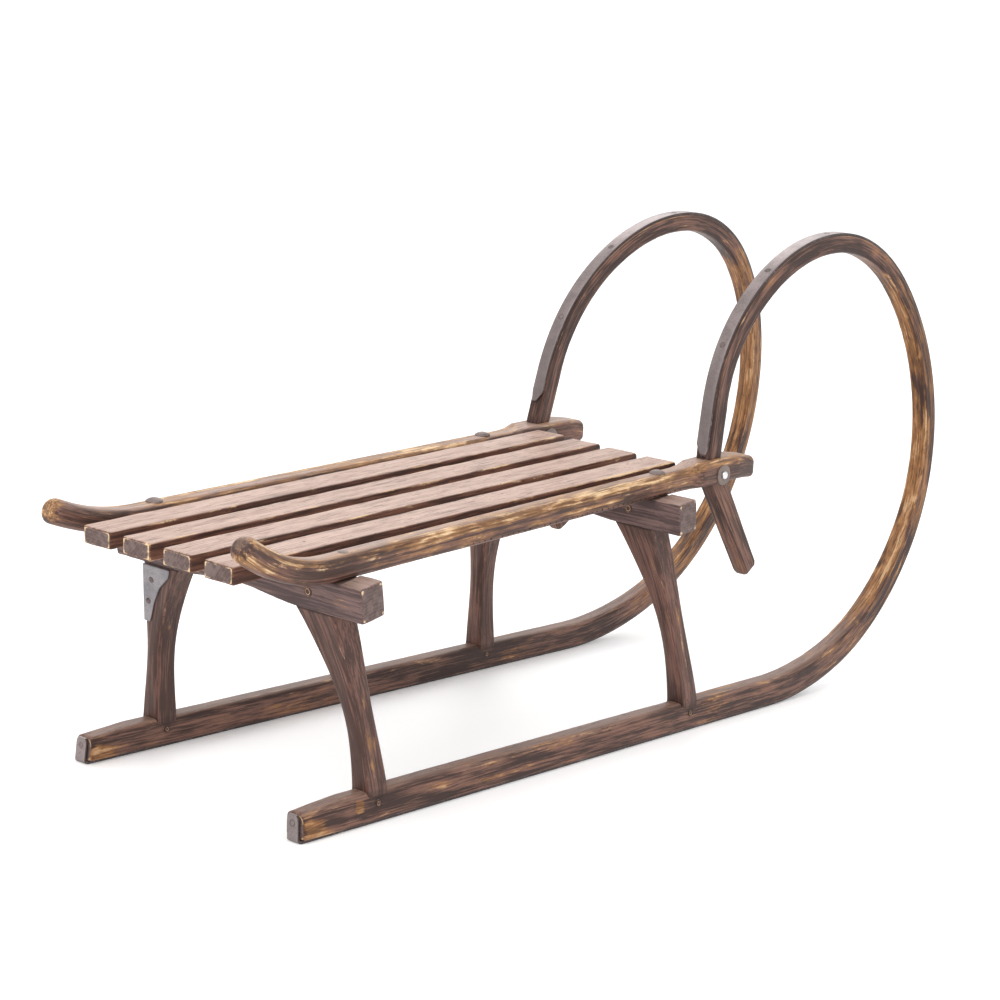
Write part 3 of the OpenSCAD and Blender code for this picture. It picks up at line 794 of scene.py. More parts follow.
def crossbar(end):
    """An arched cross bar, housed for the rails and planed level under the slats."""
    x, lean, _ = BARS[end]
    ry = rail_y(x)
    housing = (ry - RAIL_W / 2 - 1.5, ry + RAIL_W / 2 + 1.5)
    seat_y = 2 * SLAT_PITCH
    stops = {0.0}
    for y in np.linspace(0, BAR_L / 2 - 3, 60):
        stops.add(round(float(y), 3))
    for y in (*housing, seat_y - 2, seat_y + 4):
        stops |= {y - 0.15, y + 0.15}
    stops |= {BAR_L / 2 - d for d in (1.7, 0.8, 0.25, 0.0)}
    side = sorted(s for s in stops if s > 0)
    stations = [-s for s in reversed(side)] + [0.0] + side
    half = BAR_W / 2
    sweep = Sweep()
    for y in stations:
        d = abs(y)
        bottom = ARCH * (1 + math.cos(math.pi * d / HAUNCH)) / 2 if d < HAUNCH else 0.0
        base = lookup(d, [(seat_y - 2, BAR_FULL_H), (seat_y + 4, BAR_H)])
        k = RAIL_H if housing[0] < d < housing[1] else SLAT_T
        tops = [min(base, bar_top(x, lean, xl, k)) for xl in (half, -half)]
        inset = lookup(BAR_L / 2 - d, [(0, 1.7), (0.25, 0.9), (0.8, 0.35), (1.7, 0)])
        corners = [(-half + inset, bottom + inset), (half - inset, bottom + inset),
                   (half - inset, tops[0] - inset), (-half + inset, tops[1] - inset)]
        outline, edge = loop(corners, [1.8, 1.8, 1.8, 1.8], 6, 4)
        ring, wood, more = [], [], []
        for xl, zl in outline:
            ring.append(on_bar(x, lean, (xl, y, zl)))
            wood.append((y, xl + 30, zl + (0 if end == "rear" else 80)))
            # Painted shade on the bar's top where the rail lies on it.
            shade_under_rail = 0.6 * ease(zl, 27, 33) * (1 - ease(abs(d - ry), 12, 19))
            more.append((0.0, shade_under_rail))
        sweep.add(ring, wood, edge, more)
    z = bar_low(x, lean) + BAR_PEG[1]
    blobs = [(x - 18, side * BAR_PEG[0], z, 8, 0, 0.45) for side in (1, -1)]
    if end == "rear":
        blobs.append((54, -148, 185, 14, 0.4, 0))
    else:
        blobs.append((548, -168, 222, 9, 0.35, 0))
    return sweep.skin().object(f"crossbar_{end}_wood", 31 if end == "rear" else 34, 0.5, 0.7, blobs)


def rail(side, label):
    """A side rail with its upswept rear end and its swelling round the horn."""
    sweep = Sweep()
    path = rail_path(side)
    run = 0.0
    for i, p in enumerate(path):
        if i:
            run += math.dist(p[:2], path[i - 1][:2])
        u = max(0.0, min(1.0, (p[0] + 70) / 90))
        s = lookup(p[0], SWELL)
        high = RAIL_END_D + (RAIL_H - RAIL_END_D) * u
        h = high + 3 * s
        w = RAIL_END_D + (RAIL_W - RAIL_END_D) * u + (RAIL_HORN_W - RAIL_W) * s
        inset = 0.0
        for d, nose in ((run, 9.0), (RAIL_TIP - p[0], RAIL_NOSE)):
            if d < nose:
                inset = max(inset, nose - math.sqrt(nose * nose - (nose - d) ** 2))
        inset = min(inset, 9.3)
        r = min(RAIL_END_D / 2 - (RAIL_END_D / 2 - 6.5) * u, h / 2 - inset) - 0.1
        low, top, half = inset - high / 2, h - inset - high / 2, w / 2 - inset
        outline, edge = loop([(low, -half), (top, -half), (top, half), (low, half)],
                             [r * 0.9, r, r, r * 0.9], 5, 7)
        ring, wood, more = [], [], []
        for n, y in outline:
            q = beside(p, n)
            ring.append((q[0], side * (rail_y(p[0]) + y), q[1]))
            wood.append((run, y, n + side * 40))
            crest = ease(n / high, 0.05, 0.42)
            outward = ease(y / w, -0.1, 0.35)
            long = lookup(p[0], [(-75, 0.45), (-20, 0.45), (20, 0.45), (60, 0.45), (150, 0.6),
                                 (420, 0.85), (560, 0.6), (610, 0.35), (700, 0.3), (735, 0.35)])
            inner_side = 0.5 if side < 0 else 0.62
            bare = long * (crest * (inner_side + (1 - inner_side) * outward) + 0.3 * outward)
            # Painted shade on the rail's lower half.
            under = 0.2 * ease(-n / high, 0.3, 0.5)
            more.append((bare - 0.08, under))
        sweep.add(ring, wood, edge * 0.35, more)
    # A blob is (x, y, z, radius, bare, darkening). The darkening at x 648 is painted shade where
    # the horn passes the rail; the small dark spot at x -72 is a crack.
    blobs = [(648, side * 123.5, 297, 16, 0, 0.6), (66, side * 130, 262, 13, 0, 0.45),
             (560, side * 124.5, 288, 13, 0, 0.4), (613, side * 141, 278, 7, 0, 0.5)]
    if side > 0:
        blobs.append((-72, 131, 271, 14, 0.6, 0))
    else:
        blobs += [(-72, -131, 273, 13, 0.5, 0), (-72, -137, 283, 3, 0, 0.9)]
    return sweep.skin().object(f"rail_{label}_wood", 41 if side > 0 else 45, 0.5, 0.2, blobs)


def slat_blank():
    """One slat, lying along X from x = 0 with its top at z = 0, in its own frame."""
    skin, rings, woods, edges = Skin(), [], [], []
    stations = [0.0, 0.25, 0.8, 1.8] + list(np.linspace(6, SLAT_L - 14, 112))
    stations += [SLAT_L - SLAT_NOSE + SLAT_NOSE * math.sin(math.radians(a))
                 for a in (0, 15, 30, 45, 58, 70, 80, 87)]
    for x in stations:
        front = SLAT_L - x
        dip = 0.0
        if front < SLAT_NOSE:
            dip = SLAT_NOSE - math.sqrt(max(0, SLAT_NOSE ** 2 - (SLAT_NOSE - front) ** 2))
        inset = lookup(x, [(0, 1.4), (0.25, 0.8), (0.8, 0.3), (1.8, 0)])
        side = inset + dip * 0.35
        half = SLAT_W / 2 - side
        outline, edge = loop([(-half, -SLAT_T + inset), (half, -SLAT_T + inset),
                              (half, -inset - dip), (-half, -inset - dip)],
                             [1.3, 1.3, 1.7, 1.7], 6, 4)
        rings.append([(x + MID, y, z) for y, z in outline])
        woods.append([(x, y, z) for y, z in outline])
        edges.append(np.clip(edge + 0.8 * (dip > 0.3) + 0.5 * (inset > 0.2), 0, 1))
    skin.rings(rings, woods, edges)
    return skin.object("slat_row_wood", 52, 0.0, 0.0)


# ---- geometry node trees ----
class Rule(Net):
    """A geometry node tree, with named inputs that a modifier sets."""

    def __init__(self, name, sockets):
        super().__init__(bpy.data.node_groups.new(name, "GeometryNodeTree"))
        face = self.tree.interface
        face.new_socket("Geometry", in_out="INPUT", socket_type="NodeSocketGeometry")
        face.new_socket("Geometry", in_out="OUTPUT", socket_type="NodeSocketGeometry")
        self.keys = {}
        for label, kind in sockets:
            made = face.new_socket(label, in_out="INPUT", socket_type="NodeSocket" + kind)
            self.keys[label] = made.identifier
        self.input = self.make("NodeGroupInput", {}, (), None)

    def given(self, label):
        return Wire(self, self.input.outputs[label])

    def close(self, geometry):
        real = self.make("GeometryNodeRealizeInstances", {}, (geometry,))
        coated = self.make("GeometryNodeSetMaterial", {},
                           {"Geometry": real, "Material": self.given("Material")})
        self.make("NodeGroupOutput", {}, (coated,), None)

    def bake(self, piece, **values):
        """Runs the tree on a piece and leaves a plain mesh, with no modifier."""
        modifier = piece.modifiers.new(self.tree.name, "NODES")
        modifier.node_group = self.tree
        for label, value in values.items():
            modifier[self.keys[label.replace("_", " ")]] = value
        bpy.context.view_layer.update()
        graph = bpy.context.evaluated_depsgraph_get()
        mesh = bpy.data.meshes.new_from_object(piece.evaluated_get(graph), depsgraph=graph,
                                               preserve_all_data_layers=True)
        piece.modifiers.clear()
        piece.data = mesh
        mesh.name = piece.name
        return piece


def heads_rule():
    """A head on every point of a mesh, turned to the point's own direction."""
    rule = Rule("Heads On Points", [("Head", "Object"), ("Turn", "Float"), ("Seed", "Int"),
                                    ("Material", "Material")])
    aim = rule.make("GeometryNodeInputNamedAttribute", {"data_type": "FLOAT_VECTOR"}, ("aim",))
    size = rule.make("GeometryNodeInputNamedAttribute", {"data_type": "FLOAT"}, ("size",))
    spin = rule.make("FunctionNodeRandomValue", {"data_type": "FLOAT"},
                     {"Max": rule.given("Turn"), "Seed": rule.given("Seed")}, 1)
    facing = rule.make("FunctionNodeAlignRotationToVector", {"axis": "Z"}, {"Vector": aim})
    about = rule.make("FunctionNodeAxisAngleToRotation", {}, {"Axis": (0, 0, 1), "Angle": spin})
    facing = rule.make("FunctionNodeRotateRotation", {"rotation_space": "LOCAL"},
                       {"Rotation": facing, "Rotate By": about})
    head = rule.make("GeometryNodeObjectInfo", {}, {"Object": rule.given("Head")}, "Geometry")
    placed = rule.make("GeometryNodeInstanceOnPoints", {}, {
        "Points": rule.given("Geometry"), "Instance": head, "Rotation": facing, "Scale": size})
    rule.close(placed)
    return rule


def slats_rule():
    """A row of slats side by side, each a little shorter than the last, laid on the seat."""
    rule = Rule("Slat Row", [("Pitch", "Float"), ("Length", "Float"), ("Dents", "Float"),
                             ("Rise", "Float"), ("Place", "Vector"), ("Material", "Material")])
    pitch = rule.given("Pitch")
    row = rule.make("GeometryNodeMeshLine", {"mode": "OFFSET"}, {
        "Count": len(SLAT_STEPS),
        "Start Location": rule.make("ShaderNodeCombineXYZ", {}, {1: pitch * 1.5}),
        "Offset": rule.make("ShaderNodeCombineXYZ", {}, {1: pitch * -1})})
    index = rule.make("GeometryNodeInputIndex")
    steps = {"Index": index}
    for i, step in enumerate(SLAT_STEPS):
        steps[i + 1] = step * MM
    shorter = rule.make("GeometryNodeIndexSwitch",
                        {"data_type": "FLOAT", "items": len(SLAT_STEPS) - 2}, steps)
    scale = rule.make("ShaderNodeCombineXYZ", {}, (1 - shorter / rule.given("Length"), 1, 1))
    laid = rule.make("GeometryNodeInstanceOnPoints", {}, {
        "Points": row, "Instance": rule.given("Geometry"), "Scale": scale})
    marked = rule.make("GeometryNodeStoreNamedAttribute",
                       {"data_type": "FLOAT", "domain": "INSTANCE"},
                       {"Geometry": laid, "Name": "slat", "Value": index})
    real = rule.make("GeometryNodeRealizeInstances", {}, (marked,))
    wood = rule.make("GeometryNodeInputNamedAttribute", {"data_type": "FLOAT_VECTOR"}, ("wood",))
    number = rule.make("GeometryNodeInputNamedAttribute", {"data_type": "FLOAT"}, ("slat",))
    edge = rule.make("GeometryNodeInputNamedAttribute", {"data_type": "FLOAT"}, ("edge",))
    at = rule.vector("ADD", rule.vector("MULTIPLY", wood, (16, 42, 42)),
                     rule.make("ShaderNodeCombineXYZ", {}, (number * 9.7, number * 4.1, number)))
    wave = rule.make("ShaderNodeTexNoise", {}, {"Vector": at, "Scale": 1.0, "Detail": 3.0})
    push = (wave - 0.5) * rule.given("Dents") * (1 + edge * 1.5)
    out = rule.vector("SCALE", rule.make("GeometryNodeInputNormal"))
    rule.tree.links.new(push.socket, out.socket.node.inputs["Scale"])
    dented = rule.make("GeometryNodeSetPosition", {}, {"Geometry": real, "Offset": out})
    turn = rule.make("ShaderNodeCombineXYZ", {}, {1: rule.given("Rise") * -1})
    seated = rule.make("GeometryNodeTransform", {}, {
        "Geometry": dented, "Translation": rule.given("Place"), "Rotation": turn})
    rule.close(seated)
    return rule


def heads(name, outline, spots, material, slot, nodes, seed=1, around=28):
    """Turned heads at (point, direction, size) spots, as one plain mesh."""
    mesh = bpy.data.meshes.new(name)
    mesh.from_pydata([((p[0] - MID) * MM, p[1] * MM, p[2] * MM) for p, _, _ in spots], [], [])
    put(mesh, "aim", "FLOAT_VECTOR", [d for _, d, _ in spots])
    put(mesh, "size", "FLOAT", [s for _, _, s in spots])
    piece = linked(name, mesh)
    head = linked(name + "_head", lathe(outline, around))
    heads_rule().bake(piece, Head=head, Turn=2 * math.pi, Seed=seed, Material=material)
    bpy.data.objects.remove(head)
    for extra in ("aim", "size"):
        if extra in piece.data.attributes:
            piece.data.attributes.remove(piece.data.attributes[extra])
    finished(piece, material, slot, *nodes)
    return piece


def aim(p):
    """Outward direction at a station of the shoe, in the plane of the runner."""
    a = math.radians(p[2])
    return (math.sin(a), 0.0, -math.cos(a))


def shoe_nail_stations():
    """Stations of a shoe's nails: one on the cap, five below and the rest round the horn."""
    p, rings = (STRAIGHT, 0.0, 0.0, 0.0), []
    for (radius, angle), step in zip(HORN_BENDS, (4, 5, 5, 4.5, 4.5, 4.5, 5)):
        count = round(angle / step)
        turns = [turned(p, radius, step * i) for i in range(1, count + 1)]
        rings += turns
        p = turns[-1]
    floor = [(x, 0.0, 0.0, 0.0) for x in (40, 190, 340, 490, 640)]
    return [(0.0, SHOE_CAP - 8, -90.0, 0.0)] + floor + rings[3:len(rings):6]


# ---- colours and sizes that a user would change ----
def colour(name, value, description):
    return bpy.props.FloatVectorProperty(name=name, description=description, default=value,
                                         subtype="COLOR", size=3, min=0, max=1)


class SledgeColours(bpy.types.PropertyGroup):
    """The colours of the sledge's wood and iron."""

    dark: colour("Dark stain", (0.034, 0.018, 0.0145), "Stain where it is whole")
    red: colour("Red stain", (0.195, 0.098, 0.071), "Stain where it is thin")
    # Painted top light: the lighter stain given to faces that look up.
    faded: colour("Top-lit stain", (0.53, 0.38, 0.318), "Stain on faces that look up")
    gold: colour("Bare wood", (0.40, 0.205, 0.082), "Wood rubbed through the stain")
    pale: colour("Pale wood", (0.74, 0.53, 0.32), "The palest bare wood")
    end: colour("End grain", (0.165, 0.118, 0.108), "Sawn ends")
    iron: colour("Iron", (0.18, 0.148, 0.144), "Iron in its hollows")
    rubbed_iron: colour("Rubbed iron", (0.40, 0.335, 0.33), "Iron where it is rubbed")


class SledgeSizes(bpy.types.PropertyGroup):
    """The sizes of small things on the sledge."""

    tack_pitch: bpy.props.FloatProperty(
        name="Tack pitch", description="Distance between the tack holes of the right rail",
        default=0.0088, min=0.004, max=0.03, unit="LENGTH")
    tack_size: bpy.props.FloatProperty(
        name="Tack size", description="Radius of a tack hole",
        default=0.00095, min=0.0005, max=0.002, unit="LENGTH")
    slat_dents: bpy.props.FloatProperty(
        name="Slat dents", description="Depth of the waves and dents in the slats",
        default=0.0009, min=0, max=0.003, unit="LENGTH")
    floor: bpy.props.FloatProperty(
        name="Floor", description="Width of the studio floor", default=60, min=4, max=100,
        unit="LENGTH")


def colours(context, **factors):
    """The wood's colours, some of them multiplied by a factor."""
    c = context.scene.sledge_colours
    names = ("dark", "red", "faded", "gold", "pale", "end")
    return {k: times(getattr(c, k), factors.get(k, (1, 1, 1))) for k in names}


class SLEDGE_OT_runners(bpy.types.Operator):
    """Build both runners with their horns"""

    bl_idname = "sledge.runners"
    bl_label = "Runners"

    def execute(self, context):
        c = colours(context, dark=(1.2, 1.15, 1.15), faded=(0.52, 0.48, 0.45),
                    gold=(0.88, 0.8, 0.72), pale=(0.68, 0.6, 0.54))
        wood = worn_wood("Runner wood", 0.0, rub=-0.06, edge_rub=0.45, fade=0.7, rough=0.42, **c)
        for side, label in SIDES:
            finished(runner(side, label), wood, "runner_wood", f"runner_{label}")
        return {"FINISHED"}


class SLEDGE_OT_shoes(bpy.types.Operator):
    """Build the iron shoes under the runners"""

    bl_idname = "sledge.shoes"
    bl_label = "Iron shoes"

    def execute(self, context):
        c = context.scene.sledge_colours
        iron = old_iron("Shoe iron", tuple(c.iron), tuple(c.rubbed_iron), (0.12, 0.078, 0.06))
        for side, label in SIDES:
            finished(shoe(side, label), iron, "shoe_iron", f"shoe_{label}")
        return {"FINISHED"}


class SLEDGE_OT_nails(bpy.types.Operator):
    """Set the nails of the shoes, the slats and the left rear leg"""

    bl_idname = "sledge.nails"
    bl_label = "Nails"

    def execute(self, context):
        c = context.scene.sledge_colours
        nail = old_iron("Nail iron", times(c.iron, (0.35, 0.33, 0.32)),
                        times(c.iron, (1.1, 1.0, 1.0)), (0.04, 0.024, 0.018), 0.55, 0.4)
        spots = []
        for p in shoe_nail_stations():
            for side in (1, -1):
                x, z = beside(p, 0.0)
                spots.append(((x, side * plane_y(x, z), z), aim(p), 1.0))
        head = [(0, -1.2), (2.6, -1.1), (3.7, -0.35), (3.75, 0.02), (3.3, 0.12), (2.4, 0.02),
                (0, -0.05)]
        heads("shoe_nail_heads", head, spots, nail, "nail_iron", ["shoe_nails"], 3)
        up = on_seat(0, (0, 0, 1))
        up = (up[0], 0.0, up[2] - seat_top(0))
        spots = []
        for i in range(4):
            for x, way in ((SCREW_X[0], 1), (SCREW_X[1], -1)):
                y = (1.5 - i) * SLAT_PITCH + way * 4
                spots.append((on_seat(x, (0, y, -0.35)), up, 1.0))
        head = [(0, -1.0), (2.5, -0.9), (2.8, -0.3), (2.5, 0.15), (1.4, 0.3), (0, 0.35)]
        heads("slat_nail_heads", head, spots, nail, "nail_iron", ["slat_nails"], 5)
        x, lean, _ = BARS["rear"]
        back = (-math.cos(math.radians(lean)), 0.0, -math.sin(math.radians(lean)))
        spots = [(on_bar(x, lean, q), back, 1.0) for q in LEG_NAILS]
        head = [(0, -1.5), (2.9, -1.2), (3.2, -0.2), (2.8, 0.5), (1.6, 0.85), (0, 0.95)]
        heads("leg_nail_heads", head, spots, nail, "nail_iron", ["leg_nails"], 7)
        return {"FINISHED"}


class SLEDGE_OT_legs(bpy.types.Operator):
    """Build the four legs and the plate on one of them"""

    bl_idname = "sledge.legs"
    bl_label = "Legs"

    def execute(self, context):
        c = colours(context, dark=(1.9, 1.85, 1.85), red=(0.9, 0.9, 0.95), faded=(0.4, 0.46, 0.54))
        wood = worn_wood("Leg wood", 4.2, rub=-0.12, edge_rub=0.4, fade=0.6, rough=0.4, **c)
        for end in BARS:
            for side, label in SIDES:
                finished(leg(end, side, label), wood, "leg_wood", f"leg_{end}_{label}")
        iron = context.scene.sledge_colours.rubbed_iron
        flat = old_iron("Plate iron", times(iron, (0.44, 0.5, 0.54)),
                        times(iron, (0.82, 0.9, 0.95)), (0.09, 0.06, 0.05), 0.5, 0.5)
        finished(plate(), flat, "disc_iron", "leg_plate")
        return {"FINISHED"}


class SLEDGE_OT_crossbars(bpy.types.Operator):
    """Build the two arched cross bars"""

    bl_idname = "sledge.crossbars"
    bl_label = "Cross bars"

    def execute(self, context):
        c = colours(context, dark=(2.2, 2.6, 3.1), red=(0.95, 1.15, 1.45), faded=(0.7, 0.68, 0.66))
        wood = worn_wood("Cross bar wood", 9.1, rub=-0.12, edge_rub=0.6, fade=0.8, rough=0.48, **c)
        for end in BARS:
            finished(crossbar(end), wood, "bar_wood", f"crossbar_{end}")
        return {"FINISHED"}


def peg(skin, middle, axis, radius, length):
    """A wooden peg through a piece, with worn domed ends."""
    axis = np.array(axis, float)
    side = np.cross(axis, (0, 0, 1.0))
    side /= np.linalg.norm(side)
    up = np.cross(side, axis)
    rings, woods, edges = [], [], []
    for d, r in ((-0.5, 0.55), (-0.496, 0.86), (-0.49, 0.98), (-0.47, 1.0), (0.47, 1.0),
                 (0.49, 0.98), (0.496, 0.86), (0.5, 0.55)):
        ring = [np.array(middle) + axis * d * length
                + radius * r * (side * math.cos(a) + up * math.sin(a))
                for a in np.linspace(0, 2 * math.pi, 20, endpoint=False)]
        rings.append([tuple(q) for q in ring])
        woods.append([(d * length, *((q - np.array(middle)) @ np.array([side, up]).T + 25 * radius))
                      for q in ring])
        edges.append([0.8 if r < 1 else 0.1] * 20)
    skin.rings(rings, woods, edges)


class SLEDGE_OT_pegs(bpy.types.Operator):
    """Build the pegs of the cross bars and the runners"""

    bl_idname = "sledge.pegs"
    bl_label = "Pegs"

    def execute(self, context):
        c = colours(context)
        c["end"] = times(c["red"], (0.55, 0.5, 0.5))
        wood = worn_wood("Peg wood", 12.3, rub=-0.25, edge_rub=0.5, **c)
        bar_skin, foot_skin = Skin(), Skin()
        for x, lean, _ in BARS.values():
            a = math.radians(lean)
            for side in (1, -1):
                middle = on_bar(x, lean, (0, side * BAR_PEG[0], BAR_PEG[1]))
                peg(bar_skin, middle, (math.cos(a), 0, math.sin(a)), BAR_PEG[2], BAR_W + 0.8)
        for _, _, foot_x in BARS.values():
            for side in (1, -1):
                middle = (foot_x, side * plane_y(foot_x, FOOT_PEG_Z), FOOT_PEG_Z)
                peg(foot_skin, middle, (0, 1, 0), FOOT_PEG_R, RUNNER_W + 1.2)
        for skin, name, node in ((bar_skin, "crossbar_peg_ends", "crossbar_pegs"),
                                 (foot_skin, "runner_peg_ends", "runner_pegs")):
            finished(skin.object(name, 61, 0.0, 0.0), wood, "peg_wood", node)
        return {"FINISHED"}


class SLEDGE_OT_slats(bpy.types.Operator):
    """Lay the four slats of the seat"""

    bl_idname = "sledge.slats"
    bl_label = "Slats"

    def execute(self, context):
        c = colours(context, dark=(1.7, 1.45, 1.3), red=(0.9, 0.75, 0.65))
        wood = worn_wood("Slat wood", 17.0, rub=-0.2, edge_rub=1.5, fade=1.0, rough=0.5,
                         pith=(0.01, -0.09), **c)
        piece = slat_blank()
        rise = math.radians(SEAT_RISE)
        rule = slats_rule()
        place = ((-SLAT_REAR - MID) * MM, 0.0, seat_top(-SLAT_REAR) * MM)
        rule.bake(piece, Pitch=SLAT_PITCH * MM, Length=SLAT_L * MM,
                  Dents=context.scene.sledge_sizes.slat_dents, Rise=rise, Place=place,
                  Material=wood)
        finished(piece, wood, "slat_wood", "slat_1", "slat_2", "slat_3", "slat_4")
        return {"FINISHED"}


class SLEDGE_OT_rails(bpy.types.Operator):
    """Build the two side rails and the tack holes along the right one"""

    bl_idname = "sledge.rails"
    bl_label = "Rails"

    def execute(self, context):
        c = colours(context, dark=(1.8, 1.9, 1.9), faded=(0.86, 0.84, 0.82))
        c["end"] = (0.30, 0.215, 0.15)
        wood = worn_wood("Rail wood", 23.0, rub=-0.02, edge_rub=0.6, fade=0.9, rough=0.42,
                         pith=(0.02, -0.03), ends=0.25, **c)
        for side, label in SIDES:
            finished(rail(side, label), wood, "rail_wood", f"rail_{label}")
        sizes = context.scene.sledge_sizes
        pitch = sizes.tack_pitch / MM
        spots, x = [], 235.0
        while x < 590:
            wobble = noise.noise(Vector((x * 0.61, 3.3, 1.7)))
            a = math.radians(-24 + 9 * wobble)
            y = rail_y(x) + RAIL_W / 2 - 5.9 + 5.95 * math.cos(a)
            z = rail_mid(x)[1] - RAIL_H / 2 + 5.9 + 5.95 * math.sin(a)
            if wobble > -0.32:
                spots.append(((x, -y, z), (0.0, -math.cos(a), math.sin(a)),
                              1.0 + 0.5 * wobble))
            x += pitch * (1 + 0.45 * wobble)
        r = sizes.tack_size / MM
        head = [(0, -0.9), (r * 0.9, -0.8), (r, 0.05), (r * 0.85, 0.18), (0, 0.1)]
        # Painted shade in the tack holes: a near-black head sits in each hole.
        f = Finish("Tack rust")
        rust = f.shade((0.012, 0.008, 0.007), 0.85)
        heads("rail_tack_holes", head, spots, rust, "nail_iron", [], 9, 10)
        return {"FINISHED"}


class SLEDGE_OT_screws(bpy.types.Operator):
    """Set the round-headed screws of the rails"""

    bl_idname = "sledge.screws"
    bl_label = "Rail screws"

    def execute(self, context):
        c = context.scene.sledge_colours
        iron = old_iron("Screw iron", times(c.iron, (0.6, 0.55, 0.5)),
                        times(c.rubbed_iron, (0.6, 0.55, 0.52)), (0.11, 0.06, 0.045), 0.45, 0.45)
        a = math.radians(SEAT_RISE)
        sunk = {WORN_SCREW: -WORN_SCREW_SINK}
        spots = [(on_seat(x, (0, side * rail_y(x), sunk.get((x, side), 0))),
                  (-math.sin(a), 0, math.cos(a)), 1.0) for x in SCREW_X for side in (1, -1)]
        dome = [(0, -1.0), (8.2, -0.9), (8.9, -0.2), (9.0, 0.35), (8.7, 0.85), (7.9, 1.55),
                (6.6, 2.35), (5.0, 3.05), (3.2, 3.6), (1.5, 3.92), (0, 4.0)]
        heads("rail_screw_heads", dome, spots, iron, "screw_iron", ["rail_screws"], 11, 40)
        return {"FINISHED"}


class SLEDGE_OT_rivets(bpy.types.Operator):
    """Set the rivets that hold the horns, and the discs under their heads"""

    bl_idname = "sledge.rivets"
    bl_label = "Horn rivets"

    def execute(self, context):
        c = context.scene.sledge_colours
        disc = old_iron("Disc iron", times(c.iron, (0.75, 0.72, 0.65)),
                        times(c.rubbed_iron, (0.6, 0.56, 0.5)), (0.14, 0.095, 0.055), 0.5, 0.5)
        f = Finish("Rivet steel")
        at = f.make("ShaderNodeTexCoord", {}, (), "Object")
        turn = f.noise(f.vector("MULTIPLY", at, (900, 900, 900)), 3.0)
        steel = f.shade(f.mix(turn, (0.66, 0.66, 0.67), (0.82, 0.82, 0.83)), 0.2 + turn * 0.2, 1.0,
                        turn, 0.0001, 0.4)
        y = rail_y(RIVET_X)
        z = seat_top(RIVET_X) - RIVET_DROP
        cheek = RAIL_HORN_W / 2 + GAP
        discs, ends = [], []
        for side in (1, -1):
            for way in (1, -1):
                for spots, lift in ((discs, 0), (ends, RIVET_HEAD_LIFT)):
                    at = (RIVET_X, side * y + way * (cheek + lift), z)
                    spots.append((at, (0, way, 0), 1.0))
        plate = [(0, -0.3), (11.2, -0.3), (11.5, 0.15), (11.4, 1.2), (10.8, 1.55), (9.2, 1.6),
                 (5.5, 1.42), (0, 1.4)]
        heads("horn_disc_plates", plate, discs, disc, "disc_iron", ["horn_discs"], 13, 48)
        dome = [(0, -0.5), (4.3, -0.4), (4.5, 0.3), (4.35, 1.1), (3.8, 1.8), (2.8, 2.3),
                (1.5, 2.55), (0, 2.6)]
        heads("horn_rivet_heads", dome, ends, steel, "rivet_steel", ["horn_rivets"], 15, 32)
        return {"FINISHED"}


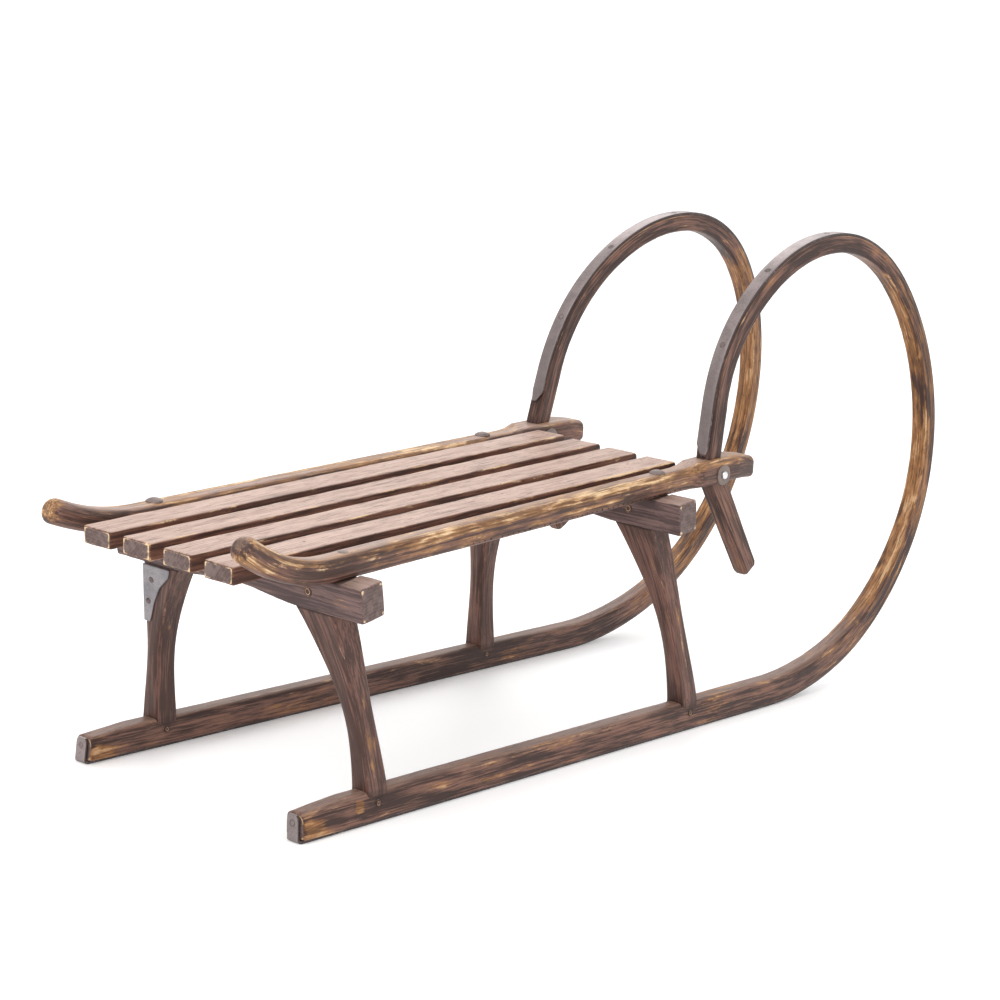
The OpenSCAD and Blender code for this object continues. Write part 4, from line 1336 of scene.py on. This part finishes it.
class SLEDGE_OT_stage(bpy.types.Operator):
    """Lay the pale floor, hang the lights and set the camera"""

    bl_idname = "sledge.stage"
    bl_label = "Stage"

    def execute(self, context):
        scene = context.scene
        half = scene.sledge_sizes.floor / 2
        mesh = bpy.data.meshes.new("studio_floor")
        mesh.from_pydata([(-half, -half, 0), (half, -half, 0), (half, half, 0), (-half, half, 0)],
                         [], [(0, 1, 2, 3)])
        floor = linked("studio_floor", mesh)
        f = Finish("Studio floor")
        glow = {"Emission Color": (1, 1, 1), "Emission Strength": 0.16}
        mesh.materials.append(f.shade((0.92, 0.92, 0.92), 0.5, **glow))
        world = bpy.data.worlds.new("Studio")
        scene.world = world
        world.use_nodes = True
        back = world.node_tree.nodes["Background"]
        back.inputs["Color"].default_value = (1, 1, 1, 1)
        back.inputs["Strength"].default_value = 1.1
        lamps = [
            ("key", (-2.6, -0.4, 3.2), 2.2, 55, (1.0, 0.985, 0.97)),
            ("fill", (0.4, -3.6, 2.2), 2.4, 12, (0.98, 0.99, 1.0)),
            ("back", (2.6, 2.4, 3.0), 2.4, 35, (1.0, 0.995, 0.985)),
        ]
        for name, place, size, power, tint in lamps:
            data = bpy.data.lights.new(name, "AREA")
            data.shape, data.size, data.energy, data.color = "SQUARE", size, power, tint
            lamp = bpy.data.objects.new(name, data)
            scene.collection.objects.link(lamp)
            lamp.location = place
            way = Vector((0, 0, 0.2)) - Vector(place)
            lamp.rotation_euler = way.to_track_quat("-Z", "Y").to_euler()
        yaw, pitch, roll = CAMERA_YAW, CAMERA_PITCH, CAMERA_ROLL
        ahead = Vector((math.cos(pitch) * math.cos(yaw), math.cos(pitch) * math.sin(yaw),
                        -math.sin(pitch)))
        right = ahead.cross(Vector((0, 0, 1))).normalized()
        up = right.cross(ahead)
        level, upright = (math.cos(roll) * right + math.sin(roll) * up,
                          -math.sin(roll) * right + math.cos(roll) * up)
        data = bpy.data.cameras.new("camera")
        data.lens, data.sensor_width = CAMERA_LENS, 36
        data.clip_start, data.clip_end = 0.1, 100
        camera = bpy.data.objects.new("camera", data)
        scene.collection.objects.link(camera)
        turn = Matrix((level, upright, -ahead)).transposed()
        x, y, z = CAMERA_AT
        camera.matrix_world = Matrix.Translation(Vector((x - MID, y, z)) * MM) @ turn.to_4x4()
        scene.camera = camera
        scene.view_settings.view_transform = "Standard"
        return {"FINISHED"}


class SLEDGE_PT_panel(bpy.types.Panel):
    """The sledge's sizes, colours and pieces"""

    bl_idname = "SLEDGE_PT_panel"
    bl_label = "Horn Sledge"
    bl_space_type = "VIEW_3D"
    bl_region_type = "UI"
    bl_category = "Sledge"

    def draw(self, context):
        layout = self.layout
        for group in (context.scene.sledge_sizes, context.scene.sledge_colours):
            box = layout.box()
            for key in group.__annotations__:
                box.prop(group, key)
        for step in STEPS:
            layout.operator(step.bl_idname)


STEPS = [SLEDGE_OT_runners, SLEDGE_OT_shoes, SLEDGE_OT_legs, SLEDGE_OT_crossbars, SLEDGE_OT_pegs,
         SLEDGE_OT_slats, SLEDGE_OT_rails, SLEDGE_OT_nails, SLEDGE_OT_screws, SLEDGE_OT_rivets,
         SLEDGE_OT_stage]
CLASSES = [SledgeSizes, SledgeColours, *STEPS, SLEDGE_PT_panel]


def register():
    for cls in CLASSES:
        bpy.utils.register_class(cls)
    bpy.types.Scene.sledge_sizes = bpy.props.PointerProperty(type=SledgeSizes)
    bpy.types.Scene.sledge_colours = bpy.props.PointerProperty(type=SledgeColours)


def unregister():
    del bpy.types.Scene.sledge_colours
    del bpy.types.Scene.sledge_sizes
    for cls in reversed(CLASSES):
        bpy.utils.unregister_class(cls)


def main():
    register()
    for step in STEPS:
        group, name = step.bl_idname.split(".")
        getattr(getattr(bpy.ops, group), name)()


if __name__ == "__main__":
    main()
